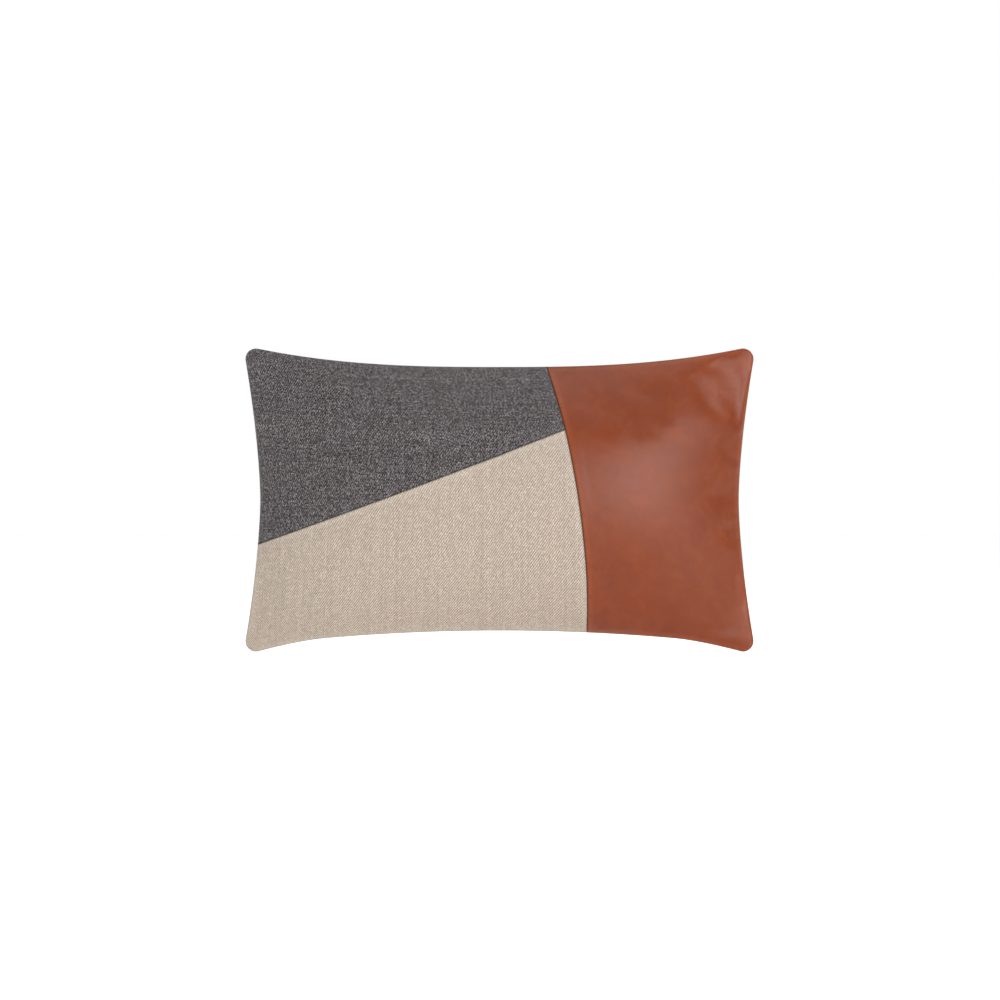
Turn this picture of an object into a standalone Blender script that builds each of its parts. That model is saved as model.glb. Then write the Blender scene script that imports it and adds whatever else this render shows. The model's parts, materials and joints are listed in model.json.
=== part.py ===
"""Lumbar throw pillow: a zipped patchwork cover over a fibre-filled insert.

Metres, +Z up. The pillow stands on its long lower edge, as it sits on a sofa:
X is its width, Y its depth with the front facing -Y, Z its height off the floor.
"""

import math

import bmesh
import bpy
from mathutils import Vector

# Cover, corner to corner, and how far each edge pulls in between its corners
COVER_WIDTH = 0.508
COVER_HEIGHT = 0.303
TOP_PULL = 0.0185
BOTTOM_PULL = 0.0212
SIDE_PULL = 0.0148
CORNER_RADIUS = 0.0105
TOP_POWER = 2.7
SIDE_POWER = 1.6
BOTTOM_END_POWER = 1.35
BOTTOM_ARC_SHARE = 0.7

# Crown of each face above its seam
CROWN_RISE = 0.064
CROWN_FLAT = 0.0008
CROWN_HALF_ANGLE = 0.92
CROWN_END_POWER = 2.6
CROWN_END_FULLNESS = 0.8
STEEPEST_WALL = 2.0
SEAM_SETTLE_POWER = 8

# Cloth and sewing
FABRIC = 0.0012
ALLOWANCE = 0.0127
SEAM_GAP = 0.0009
THREAD_RADIUS = 0.00015
STITCH_INSET = 0.004
TOUCH = 0.0003

# Patchwork seams on the front: each end as a share of width from the middle and of height.
# The beige seam runs into the leather seam where that passes nearest to its second end.
LEATHER_SEAM = ((0.0925, 0.939), (0.1713, 0.071))
LEATHER_SEAM_BOW = 0.0094
BEIGE_SEAM = ((-0.4744, 0.3535), (0.128, 0.728))
BEIGE_SEAM_BOW = -0.0021
SEAM_END_INSET = 0.032
JUNCTION_CLEARANCE = 0.006
STRIP_LAYERS = (0.5, 1.9)
CUT_RUN_ON = 0.05
CUT_DEPTH = 0.16

# Hidden zip along the bottom seam. Heights are measured inwards from the lips.
CHAIN_LENGTH = 0.320
TAPE_OVERHANG = 0.008
SLOT_MARGIN = 0.006
SLOT_RAMP = 0.026
SLOT_FADE = 0.060
COIL_WIDTH = 0.0018
COIL_HEIGHT = 0.0016
COIL_GAP = 0.0018
TAPE_THICKNESS = 0.0005
SLIDER_LENGTH = 0.009
SLIDER_WALL = 0.0009
SLIDER_BLADE = 0.0010
SLIDER_CLEARANCE = 0.0004
STOP_LENGTH = 0.0035
LIP_TO_PIN = 0.0026
PIN_RADIUS = 0.0005
EYE_WALL = 0.0005
TAB_LENGTH = 0.014
TAB_WIDTH = 0.0048
TAB_THICKNESS = 0.0010
TAB_BARREL_HALF = 0.0012
TACK_LENGTH = 0.002

# Care label, folded into the left side seam inside the cover
LABEL_WIDTH = 0.024
LABEL_REACH = 0.017
LABEL_THICKNESS = 0.0004

# Insert: lining bag and fibre
INSERT_INSET = 0.020
INSERT_SHOULDER = 0.024
INSERT_EDGE_ROOM = 0.007
LINING = 0.0006
FILL_GAP = 0.0008
SEAM_MARGIN = 0.0015
INSERT_GAP_FRONT = 0.0033
INSERT_GAP_BACK = 0.0027
CLOSING_LENGTH = 0.100

# How finely the cloth is divided
EDGE_STEPS = 13
SIDE_STEPS = 14
CORNER_STEPS = 3
SETTLE_ROUNDS = 30
LAST_WALL_SHARE = 0.5
PATCH_SEAM_STEPS = (14, 10)
PIN_SIDES = 12
EYE_SIDES = 16
COVER_SHARES = (0.0, 0.04, 0.1, 0.17, 0.26, 0.38, 0.54, 0.73, 0.9, 1.0)
INSERT_SHARES = (0.0, 0.03, 0.08, 0.16, 0.3, 0.5, 0.74, 1.0)

# Derived sizes
HALF_WIDTH = COVER_WIDTH / 2
SPINE_HALF = (COVER_WIDTH - COVER_HEIGHT) / 2
SLOT_HALF = CHAIN_LENGTH / 2 + STOP_LENGTH + TAPE_OVERHANG + SLOT_MARGIN
SLOT_END = SLOT_HALF + SLOT_RAMP
COIL_OUTER = COIL_GAP / 2 + COIL_WIDTH
SLIDER_HALF_WIDTH = COIL_OUTER + TOUCH + SLIDER_WALL
TAPE_INNER = SLIDER_HALF_WIDTH + TOUCH
TAPE_OUTER = TAPE_INNER + TAPE_THICKNESS
SLOT_OPENING = TAPE_OUTER + TOUCH - SEAM_GAP / 2
EYE_RADIUS = PIN_RADIUS + TOUCH + EYE_WALL
OUTER_PLATE = LIP_TO_PIN + EYE_RADIUS + SLIDER_CLEARANCE
COIL_LOW = OUTER_PLATE + SLIDER_WALL + SLIDER_CLEARANCE
TAPE_LOW = COIL_LOW + COIL_HEIGHT + TOUCH
INNER_PLATE = TAPE_LOW + TAPE_THICKNESS + SLIDER_CLEARANCE
TAPE_TOP = ALLOWANCE - 0.0005


def clear_scene():
    for found in list(bpy.data.objects):
        bpy.data.objects.remove(found)


def material(name, colour, roughness, metallic=0.0):
    made = bpy.data.materials.new(name)
    made.use_nodes = True
    shader = made.node_tree.nodes["Principled BSDF"]
    shader.inputs["Base Color"].default_value = (*colour, 1.0)
    shader.inputs["Roughness"].default_value = roughness
    shader.inputs["Metallic"].default_value = metallic
    made.diffuse_color = (*colour, 1.0)
    return made


def smoothstep(share):
    share = min(1.0, max(0.0, share))
    return share * share * (3 - 2 * share)


def spread(start, end, steps):
    return [start + (end - start) * i / steps for i in range(steps + 1)]


# The outline: two long edges and two sides, each bowed in, joined by corner arcs


def settle_edge(half_side, pull, slope_at):
    """An edge's half length and rise, where it runs smoothly into its corner arcs."""
    angle = 0.0
    for _ in range(SETTLE_ROUNDS):
        reach = half_side - CORNER_RADIUS * (1 + math.sin(angle))
        rise = pull - CORNER_RADIUS * (1 - math.cos(angle))
        angle = math.atan(slope_at(reach, rise))
    return reach, rise


def bottom_arc_radius(reach, rise):
    drop = BOTTOM_ARC_SHARE * rise
    return (reach * reach + drop * drop) / (2 * drop)


def bottom_slope(reach, rise):
    radius = bottom_arc_radius(reach, rise)
    arc_slope = reach / math.sqrt(radius * radius - reach * reach)
    rest = (1 - BOTTOM_ARC_SHARE) * rise
    return arc_slope + BOTTOM_END_POWER * rest / (reach - SLOT_HALF)


BOTTOM_REACH, BOTTOM_RISE = settle_edge(HALF_WIDTH, BOTTOM_PULL, bottom_slope)
TOP_REACH, TOP_RISE = settle_edge(
    HALF_WIDTH, TOP_PULL, lambda reach, rise: TOP_POWER * rise / reach
)
SIDE_REACH, SIDE_RISE = settle_edge(
    COVER_HEIGHT / 2, SIDE_PULL, lambda reach, rise: SIDE_POWER * rise / reach
)
ARC_RADIUS = bottom_arc_radius(BOTTOM_REACH, BOTTOM_RISE)
ARC_CENTRE = BOTTOM_PULL - ARC_RADIUS


def bottom_edge(x):
    arc = ARC_RADIUS - math.sqrt(ARC_RADIUS**2 - x * x)
    past = max(0.0, abs(x) - SLOT_HALF) / (BOTTOM_REACH - SLOT_HALF)
    return BOTTOM_PULL - arc - (1 - BOTTOM_ARC_SHARE) * BOTTOM_RISE * past**BOTTOM_END_POWER


def top_edge(x):
    return COVER_HEIGHT - TOP_PULL + TOP_RISE * (abs(x) / TOP_REACH) ** TOP_POWER


def side_edge(z):
    share = abs(z - COVER_HEIGHT / 2) / SIDE_REACH
    return HALF_WIDTH - SIDE_PULL + SIDE_RISE * share**SIDE_POWER


def middle_height(x):
    return (top_edge(x) + bottom_edge(x)) / 2


def corner_arc(side, height, start, steps):
    """A corner's quarter circle from an angle; the edges meet it a little past its ends."""
    centre_x = side * (HALF_WIDTH - CORNER_RADIUS)
    centre_z = CORNER_RADIUS if height < 0 else COVER_HEIGHT - CORNER_RADIUS
    return [
        (centre_x + CORNER_RADIUS * math.cos(a), centre_z + CORNER_RADIUS * math.sin(a))
        for a in spread(start, start + math.pi / 2, steps)
    ]


def long_edge_stations(reach, steps):
    """X along a long edge, symmetric about the middle, with stations through the zip's ramps."""
    ramp = spread(SLOT_HALF, SLOT_END, 3)
    outer = ramp[1:] + spread(SLOT_END, reach, 2)[1:]
    return [-x for x in reversed(outer)] + spread(-SLOT_HALF, SLOT_HALF, steps) + outer


def outline(edge_steps, side_steps, corner_steps):
    """The cover's seam, anticlockwise from the lower left corner as seen from the front."""
    quarter = math.pi / 2
    bottom = [(x, bottom_edge(x)) for x in long_edge_stations(BOTTOM_REACH, edge_steps)]
    top = [(x, top_edge(x)) for x in reversed(long_edge_stations(TOP_REACH, edge_steps))]
    low, high = COVER_HEIGHT / 2 - SIDE_REACH, COVER_HEIGHT / 2 + SIDE_REACH
    right = [(side_edge(z), z) for z in spread(low, high, side_steps)]
    left = [(-x, z) for x, z in reversed(right)]
    arcs = (
        corner_arc(1, -1, -quarter, corner_steps),
        corner_arc(1, 1, 0.0, corner_steps),
        corner_arc(-1, 1, quarter, corner_steps),
        corner_arc(-1, -1, 2 * quarter, corner_steps),
    )
    points = bottom + arcs[0] + right + arcs[1] + top + arcs[2] + left + arcs[3]
    return [Vector((x, 0.0, z)) for x, z in points]


def spine_of(point):
    """The point of the pillow's middle line that cloth at this edge point runs towards."""
    x = min(SPINE_HALF, max(-SPINE_HALF, point.x))
    return Vector((x, 0.0, middle_height(x)))


def inwards(point, distance):
    spine = spine_of(point)
    return point.lerp(spine, distance / (spine - point).length)


# The crowned faces, as a height above the seam plane


def crown(x, z):
    up = (z - middle_height(x)) / ((top_edge(x) - bottom_edge(x)) / 2)
    along = abs(x) / side_edge(z)
    lowest = math.cos(CROWN_HALF_ANGLE)
    chord = 1 - (up * math.sin(CROWN_HALF_ANGLE)) ** 2
    across = max(0.0, math.sqrt(max(0.0, chord)) - lowest) / (1 - lowest)
    ends = max(0.0, 1 - along**CROWN_END_POWER) ** CROWN_END_FULLNESS
    return min(CROWN_RISE * across * ends, CROWN_RISE - CROWN_FLAT)


def slant(x, z):
    """How much longer a wall's depth along Y is than its thickness."""
    step = 0.001
    slope_x = (crown(x + step, z) - crown(x - step, z)) / (2 * step)
    slope_z = (crown(x, z + step) - crown(x, z - step)) / (2 * step)
    return math.sqrt(1 + min(math.hypot(slope_x, slope_z), STEEPEST_WALL) ** 2)


def seam_offset(x, z):
    """Half the space between the two faces at the seam: wide along the zip, narrow elsewhere."""
    open_share = smoothstep((SLOT_END - abs(x)) / SLOT_RAMP)
    fade = smoothstep((ALLOWANCE + SLOT_FADE - (z - bottom_edge(x))) / SLOT_FADE)
    return SEAM_GAP / 2 + SLOT_OPENING * open_share * fade


def outer_height(edge_point, share):
    """Height of the cover's outer side on the way from an edge point to the spine."""
    at = edge_point.lerp(spine_of(edge_point), share)
    at_seam = crown(edge_point.x, edge_point.z)
    return crown(at.x, at.z) - at_seam * (1 - share) ** SEAM_SETTLE_POWER


def inner_height(edge_point, share):
    at = edge_point.lerp(spine_of(edge_point), share)
    return outer_height(edge_point, share) - FABRIC * slant(at.x, at.z)


def share_at_height(edge_point, height):
    """The share of the way in where the wall's inner side reaches a height."""
    low, high = 0.0, LAST_WALL_SHARE
    for _ in range(SETTLE_ROUNDS):
        trial = (low + high) / 2
        if inner_height(edge_point, trial) < height:
            low = trial
        else:
            high = trial
    return high


def cloth_point(edge_point, share, height, side):
    """A point on a face: side -1 is the front, +1 the back."""
    at = edge_point.lerp(spine_of(edge_point), share)
    at.y = side * (seam_offset(at.x, at.z) + height)
    return at


# Bodies


def body(name, made_of, rings, closed_on_spine=False):
    """One closed body from a stack of rings of equal length, bridged and capped."""
    bm = bmesh.new()
    loops = [[bm.verts.new(point) for point in ring] for ring in rings]
    for lower, upper in zip(loops, loops[1:]):
        for i, vertex in enumerate(lower):
            following = (i + 1) % len(lower)
            bm.faces.new((vertex, lower[following], upper[following], upper[i]))
    if closed_on_spine:
        # The first and last rings lie folded flat on the spine, so their pairs merge.
        for ring in (loops[0], loops[-1]):
            bmesh.ops.remove_doubles(bm, verts=ring, dist=1e-6)
    else:
        bm.faces.new(reversed(loops[0]))
        bm.faces.new(loops[-1])
    bmesh.ops.recalc_face_normals(bm, faces=bm.faces)
    mesh = bpy.data.meshes.new(name)
    bm.to_mesh(mesh)
    bm.free()
    mesh.materials.append(made_of)
    mesh.shade_smooth()
    mesh.set_sharp_from_angle(angle=math.radians(40))
    made = bpy.data.objects.new(name, mesh)
    bpy.context.scene.collection.objects.link(made)
    return made


def helper(made):
    """Marks an object as a tool for other objects' modifiers, not a part."""
    made.hide_render = True
    made.display_type = "WIRE"
    return made


def combine(target, other, operation, solver="EXACT"):
    modifier = target.modifiers.new(f"{operation.lower()}_{other.name}", "BOOLEAN")
    modifier.operation = operation
    modifier.solver = solver
    modifier.object = other


def cover_rings(side):
    """A cover face from its crown out to the seam, in along the allowance and back to the crown."""
    edge = outline(EDGE_STEPS, SIDE_STEPS, CORNER_STEPS)
    starts = [share_at_height(point, FABRIC) for point in edge]
    lengths = [(spine_of(point) - point).length for point in edge]
    ends = [max(ALLOWANCE / d, s + TOUCH / d) for s, d in zip(starts, lengths)]
    rings = [
        [cloth_point(p, share, outer_height(p, share), side) for p in edge]
        for share in reversed(COVER_SHARES)
    ]
    rings.append([cloth_point(p, e, 0.0, side) for p, e in zip(edge, ends)])
    rings.append([cloth_point(p, e, FABRIC, side) for p, e in zip(edge, ends)])
    rings.append([cloth_point(p, s, FABRIC, side) for p, s in zip(edge, starts)])
    for share in COVER_SHARES[1:]:
        inner = [s + (1 - s) * share for s in starts]
        rings.append(
            [cloth_point(p, k, inner_height(p, k), side) for p, k in zip(edge, inner)]
        )
    return rings


def insert_start(edge_point):
    """The share of the way in where the insert's seam lies: its corners stop short of the cover's."""
    length = (spine_of(edge_point) - edge_point).length
    return max(INSERT_INSET / length, share_at_height(edge_point, INSERT_EDGE_ROOM))


def insert_ring(edge, share, gap, side, shrink):
    """A ring of the insert, rounded over at its seam; share 0 is its seam and 1 the spine."""
    ring = []
    for point in edge:
        length = (spine_of(point) - point).length
        start = insert_start(point) + shrink / length
        at = start + (1 - start) * share
        spot = point.lerp(spine_of(point), at)
        round_share = min(1.0, (at - start) * length / INSERT_SHOULDER)
        rounding = math.sqrt(1 - (1 - round_share) ** 2)
        height = outer_height(point, at) - gap * slant(spot.x, spot.z)
        ring.append(cloth_point(point, at, height * rounding, side))
    return ring


def insert_rings(side, gap, shrink):
    edge = outline(EDGE_STEPS // 2, SIDE_STEPS // 2, CORNER_STEPS // 2)
    return [insert_ring(edge, share, gap, side, shrink) for share in INSERT_SHARES]


def seam_ends(seam):
    return [Vector((across * COVER_WIDTH, 0.0, up * COVER_HEIGHT)) for across, up in seam]


def bowed_line(start, end, bow, steps):
    """Points down a patchwork seam, which bows sideways by `bow` at its middle."""
    run = (end - start).normalized()
    sideways = Vector((-run.z, 0.0, run.x))
    return [
        start.lerp(end, t) + sideways * (bow * 4 * t * (1 - t))
        for t in spread(0.0, 1.0, steps)
    ]


def sideways_shift(line, distance):
    """A line moved to its left by a distance, seen from the front."""
    shifted = []
    for i, point in enumerate(line):
        run = (line[min(i + 1, len(line) - 1)] - line[max(i - 1, 0)]).normalized()
        shifted.append(point + Vector((-run.z, 0.0, run.x)) * distance)
    return shifted


def stretched(line, length):
    """A line with its two ends run on straight by a length."""
    first = line[0] + (line[0] - line[1]).normalized() * length
    last = line[-1] + (line[-1] - line[-2]).normalized() * length
    return [first] + line[1:-1] + [last]


def region(name, corners):
    """A prism through the front face, which keeps one patch of it."""
    near, far = Vector((0, CUT_DEPTH / 8, 0)), Vector((0, -CUT_DEPTH, 0))
    rings = [[point + near for point in corners], [point + far for point in corners]]
    return helper(body(name, PLAIN, rings))


def face_height(x, z):
    return seam_offset(x, z) + crown(x, z)


def allowance_strip(name, line, side):
    """The turned-back seam allowance beside a patchwork seam, inside the front face."""
    outer, inner = STRIP_LAYERS
    rings = []
    for near, far in zip(
        sideways_shift(line, side * SEAM_GAP / 2),
        sideways_shift(line, side * (SEAM_GAP / 2 + ALLOWANCE)),
    ):
        section = []
        for point, layer in ((near, outer), (far, outer), (far, inner), (near, inner)):
            depth = face_height(point.x, point.z) - layer * FABRIC * slant(point.x, point.z)
            section.append(Vector((point.x, -depth, point.z)))
        rings.append(section)
    return helper(body(name, PLAIN, rings))


def thread_along(name, made_of, line, layer):
    """A seam's thread, lying in the gap between two patches at a depth in fabric layers."""
    rings = []
    for left, right in zip(
        sideways_shift(line, THREAD_RADIUS), sideways_shift(line, -THREAD_RADIUS)
    ):
        middle = (left + right) / 2
        depth = face_height(middle.x, middle.z) - layer * FABRIC * slant(middle.x, middle.z)
        rings.append(
            [
                Vector((left.x, -depth, left.z)),
                Vector((middle.x, -depth - THREAD_RADIUS, middle.z)),
                Vector((right.x, -depth, right.z)),
                Vector((middle.x, -depth + THREAD_RADIUS, middle.z)),
            ]
        )
    return body(name, made_of, rings)


def edge_band(name, made_of, points, section, start=None):
    """A section of (distance in, y) swept along edge points, from the cover's seam or a start."""
    rings = []
    for point in points:
        length = (spine_of(point) - point).length
        from_seam = start(point) * length if start else 0.0
        ring = []
        for inset, y in section:
            at = inwards(point, from_seam + inset)
            at.y = y
            ring.append(at)
        rings.append(ring)
    return body(name, made_of, rings)


def diamond(inset, y, radius):
    return [(inset - radius, y), (inset, y - radius), (inset + radius, y), (inset, y + radius)]


def box_section(inset, outset, y_low, y_high):
    return [(inset, y_low), (outset, y_low), (outset, y_high), (inset, y_high)]


def zip_band(name, made_of, section, start, end, steps):
    """A section of (height above the lips, y) swept along the zip's arc."""
    rings = []
    for along in spread(start, end, steps):
        angle = along / ARC_RADIUS
        ring = []
        for height, y in section:
            radius = ARC_RADIUS + height
            ring.append(
                Vector((radius * math.sin(angle), y, ARC_CENTRE + radius * math.cos(angle)))
            )
        rings.append(ring)
    return body(name, made_of, rings)


def block(name, made_of, x_range, y_range, z_range):
    rings = [
        [Vector((x, y, z)) for x, y in ((x_range[0], y_range[0]), (x_range[1], y_range[0]),
                                        (x_range[1], y_range[1]), (x_range[0], y_range[1]))]
        for z in z_range
    ]
    return body(name, made_of, rings)


def cylinder_along_y(name, made_of, radius, half_length, centre_z, sides):
    rings = [
        [
            Vector((radius * math.cos(a), y, centre_z + radius * math.sin(a)))
            for a in spread(0, 2 * math.pi, sides)[:-1]
        ]
        for y in (-half_length, half_length)
    ]
    return body(name, made_of, rings)


# Sub-parts


def build_cover(charcoal, beige, leather, canvas):
    """Three patches cut from one front face along the patchwork seams, and a plain back."""
    body("back_panel", canvas, cover_rings(1), closed_on_spine=True)
    front_mesh = body("front_face", charcoal, cover_rings(-1), closed_on_spine=True).data
    bpy.data.objects.remove(bpy.data.objects["front_face"])

    leather_line = bowed_line(*seam_ends(LEATHER_SEAM), LEATHER_SEAM_BOW, PATCH_SEAM_STEPS[0])
    beige_start, beige_end = seam_ends(BEIGE_SEAM)
    junction = nearest_share(leather_line, beige_end)
    beige_end = point_at(leather_line, junction)
    beige_line = bowed_line(beige_start, beige_end, BEIGE_SEAM_BOW, PATCH_SEAM_STEPS[1])
    reach = COVER_WIDTH
    leather_cut = stretched(leather_line, CUT_RUN_ON)
    beige_cut = stretched(beige_line, CUT_RUN_ON)
    right_side = sideways_shift(leather_cut, SEAM_GAP / 2)
    left_side = sideways_shift(leather_cut, -SEAM_GAP / 2)
    above_beige = sideways_shift(beige_cut, SEAM_GAP / 2)
    below_beige = sideways_shift(beige_cut, -SEAM_GAP / 2)
    far_right = [Vector((reach, 0, right_side[-1].z)), Vector((reach, 0, right_side[0].z))]
    far_left = [Vector((-reach, 0, left_side[-1].z)), Vector((-reach, 0, left_side[0].z))]
    far_up = [Vector((reach, 0, 2 * reach)), Vector((-reach, 0, 2 * reach))]
    far_down = [Vector((reach, 0, -reach)), Vector((-reach, 0, -reach))]
    leather_region = region("leather_region", right_side + far_right)
    left_region = region("left_region", left_side + far_left)
    under_charcoal = region("under_charcoal", above_beige + far_down)
    over_beige = region("over_beige", below_beige + far_up)

    inset = SEAM_END_INSET / COVER_HEIGHT
    clear = JUNCTION_CLEARANCE / COVER_HEIGHT
    whole = trimmed(leather_line, inset, inset)
    above = trimmed(leather_line, inset, 1 - junction + clear)
    below = trimmed(leather_line, junction + clear, inset)
    across = trimmed(beige_line, inset, clear)
    strips = {
        "leather": [allowance_strip("leather_allowance", whole, 1)],
        "charcoal": [
            allowance_strip("charcoal_side_allowance", above, -1),
            allowance_strip("charcoal_lower_allowance", across, 1),
        ],
        "beige": [
            allowance_strip("beige_side_allowance", below, -1),
            allowance_strip("beige_upper_allowance", across, -1),
        ],
    }
    regions = {
        "leather": [(leather_region, "INTERSECT")],
        "charcoal": [(left_region, "INTERSECT"), (under_charcoal, "DIFFERENCE")],
        "beige": [(left_region, "INTERSECT"), (over_beige, "DIFFERENCE")],
    }
    for patch, finish in (("charcoal", charcoal), ("beige", beige), ("leather", leather)):
        panel = bpy.data.objects.new(f"{patch}_panel", front_mesh.copy())
        panel.data.materials[0] = finish
        bpy.context.scene.collection.objects.link(panel)
        for cutter, operation in regions[patch]:
            combine(panel, cutter, operation)
        for strip in strips[patch]:
            # The strips lie almost along the wall, which the exact solver can lose.
            combine(panel, strip, "UNION", "MANIFOLD")
    return leather_line, beige_line


def point_at(line, share):
    place = share * (len(line) - 1)
    index = min(len(line) - 2, int(place))
    return line[index].lerp(line[index + 1], place - index)


def trimmed(line, start_share, end_share):
    """A line less a share of its length at its start and at its end."""
    steps = len(line) - 1
    return [point_at(line, share) for share in spread(start_share, 1 - end_share, steps)]


def nearest_share(line, point):
    """The share of a line's length at which it passes nearest to a point."""
    shares = spread(0.0, 1.0, 400)
    return min(shares, key=lambda share: (point_at(line, share) - point).length)


def build_seam_threads(thread, leather_line, beige_line):
    inset = SEAM_END_INSET / COVER_HEIGHT
    thread_along("leather_seam_thread", thread, trimmed(leather_line, inset, inset), 1)
    beige_end = 2 * SEAM_GAP / (beige_line[0] - beige_line[-1]).length
    thread_along("patch_seam_thread", thread, trimmed(beige_line, inset, beige_end), 1)
    edge = outline(EDGE_STEPS, SIDE_STEPS, CORNER_STEPS)
    bottom_count = len(long_edge_stations(BOTTOM_REACH, EDGE_STEPS))
    starts = [i for i in range(bottom_count) if edge[i].x >= SLOT_END]
    ends = [i for i in range(bottom_count) if edge[i].x <= -SLOT_END]
    run = edge[starts[0] :] + edge[: ends[-1] + 1]
    edge_band("perimeter_seam_thread", thread, run, diamond(STITCH_INSET, 0.0, THREAD_RADIUS))


def build_zip(tape, coil, metal, thread):
    half = CHAIN_LENGTH / 2
    tape_half = half + STOP_LENGTH + TAPE_OVERHANG
    steps = EDGE_STEPS
    for side, name in ((-1, "front"), (1, "back")):
        flap = [
            (TAPE_LOW, side * COIL_GAP / 2),
            (TAPE_LOW, side * TAPE_OUTER),
            (TAPE_TOP, side * TAPE_OUTER),
            (TAPE_TOP, side * TAPE_INNER),
            (TAPE_LOW + TAPE_THICKNESS, side * TAPE_INNER),
            (TAPE_LOW + TAPE_THICKNESS, side * COIL_GAP / 2),
        ]
        zip_band(f"zip_tape_{name}", tape, flap, -tape_half, tape_half, steps)
        teeth = box_section(
            COIL_LOW, COIL_LOW + COIL_HEIGHT, side * COIL_GAP / 2, side * COIL_OUTER
        )
        zip_band(f"zip_coil_{name}", coil, teeth, -half, half, steps)
        stop_start = half + TOUCH
        zip_band(
            f"zip_top_stop_{name}", metal, teeth, stop_start, stop_start + STOP_LENGTH, 1
        )
        row_y = side * (TAPE_INNER - TOUCH - THREAD_RADIUS)
        row_height = (INNER_PLATE + SLIDER_WALL + TAPE_TOP) / 2
        row = diamond(row_height, row_y, THREAD_RADIUS)
        zip_band(f"zip_stitching_{name}", thread, row, -tape_half, tape_half, steps)
    bottom_stop = box_section(COIL_LOW, COIL_LOW + COIL_HEIGHT, -COIL_OUTER, COIL_OUTER)
    zip_band(
        "zip_bottom_stop", metal, bottom_stop, -half - TOUCH - STOP_LENGTH, -half - TOUCH, 1
    )


def build_bar_tacks(thread):
    """A dense bar of stitches across each end of the zip's opening."""
    for side, name in ((-1, "left"), (1, "right")):
        middle = SLOT_HALF + SLOT_RAMP / 2
        span = seam_offset(middle + TACK_LENGTH / 2, bottom_edge(middle)) - 2 * TOUCH
        points = [
            Vector((side * x, 0.0, bottom_edge(x)))
            for x in (middle - TACK_LENGTH / 2, middle + TACK_LENGTH / 2)
        ]
        section = box_section(STITCH_INSET / 2, ALLOWANCE - STITCH_INSET, -span, span)
        edge_band(f"bar_tack_{name}", thread, points, section)


def build_slider(metal):
    """The slider and its pull tab, on two empties that stand on their joints' axes."""
    travel = bpy.data.objects.new("zip_travel_axis", None)
    bpy.context.scene.collection.objects.link(travel)
    travel.location = (0.0, 0.0, ARC_CENTRE)
    closed_angle = (CHAIN_LENGTH / 2 - SLIDER_LENGTH / 2 - TOUCH) / ARC_RADIUS
    travel.rotation_euler = (0.0, closed_angle, 0.0)

    lips = ARC_RADIUS
    half = SLIDER_LENGTH / 2
    wide = SLIDER_HALF_WIDTH
    low, high = lips + OUTER_PLATE, lips + INNER_PLATE
    slider = block("zip_slider", metal, (-half, half), (-wide, wide), (low, low + SLIDER_WALL))
    rail_top = lips + TAPE_LOW - SLIDER_CLEARANCE
    pin = lips + LIP_TO_PIN
    eye_room = TAB_BARREL_HALF + TOUCH
    pieces = [
        block("inner_plate", metal, (-half, half), (-wide, wide), (high, high + SLIDER_WALL)),
        block(
            "blade", metal, (-half / 2, half), (-SLIDER_BLADE / 2, SLIDER_BLADE / 2),
            (low + SLIDER_WALL / 2, high + SLIDER_WALL / 2),
        ),
        cylinder_along_y("pin", metal, PIN_RADIUS, eye_room + EYE_WALL / 2, pin, PIN_SIDES),
    ]
    for side, name in ((-1, "front"), (1, "back")):
        inner, outer = side * (wide - SLIDER_WALL), side * wide
        pieces.append(
            block(
                f"rail_{name}", metal, (-half, half), (min(inner, outer), max(inner, outer)),
                (low + SLIDER_WALL / 2, rail_top),
            )
        )
        inner, outer = side * eye_room, side * (eye_room + EYE_WALL)
        lug_half = PIN_RADIUS + TOUCH
        pieces.append(
            block(
                f"lug_{name}", metal, (-lug_half, lug_half),
                (min(inner, outer), max(inner, outer)),
                (pin - PIN_RADIUS - TOUCH, low + SLIDER_WALL / 2),
            )
        )
    for piece in pieces:
        combine(slider, helper(piece), "UNION")
        piece.parent = travel
    slider.parent = travel

    hinge = bpy.data.objects.new("pull_tab_axis", None)
    bpy.context.scene.collection.objects.link(hinge)
    hinge.parent = travel
    hinge.location = (0.0, 0.0, pin)
    build_pull_tab(metal).parent = hinge


def build_pull_tab(metal):
    """A flat tab that widens from a rolled eye; the eye turns on the slider's pin."""
    eye = cylinder_along_y("zip_pull_tab", metal, EYE_RADIUS, TAB_BARREL_HALF, 0.0, EYE_SIDES)
    neck, tip = (EYE_WALL / 4 - EYE_RADIUS), -TAB_LENGTH
    widen = -EYE_RADIUS - 2 * TOUCH - PIN_RADIUS
    half, wide = TAB_BARREL_HALF, TAB_WIDTH / 2
    profile = [
        (neck, -half), (widen, -half), (widen - wide, -wide), (tip + half, -wide),
        (tip, -half), (tip, half), (tip + half, wide), (widen - wide, wide),
        (widen, half), (neck, half),
    ]
    rings = [
        [Vector((x, y, z)) for x, y in profile]
        for z in (-TAB_THICKNESS / 2, TAB_THICKNESS / 2)
    ]
    blade = helper(body("tab_blade", metal, rings))
    bore = helper(
        cylinder_along_y("tab_bore", metal, PIN_RADIUS + TOUCH, 2 * half, 0.0, EYE_SIDES)
    )
    combine(eye, blade, "UNION")
    combine(eye, bore, "DIFFERENCE")
    for tool in (blade, bore):
        tool.parent = eye
    return eye


def build_label(cloth):
    """A blank label, caught in the left side seam and lying against the back's allowance."""
    middle = COVER_HEIGHT / 2
    points = [
        Vector((-side_edge(z), 0.0, z))
        for z in spread(middle + LABEL_WIDTH / 2, middle - LABEL_WIDTH / 2, 2)
    ]
    low = SEAM_GAP / 2 + FABRIC + TOUCH
    section = box_section(STITCH_INSET * 1.5, LABEL_REACH, low, low + LABEL_THICKNESS)
    edge_band("care_label", cloth, points, section)


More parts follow.
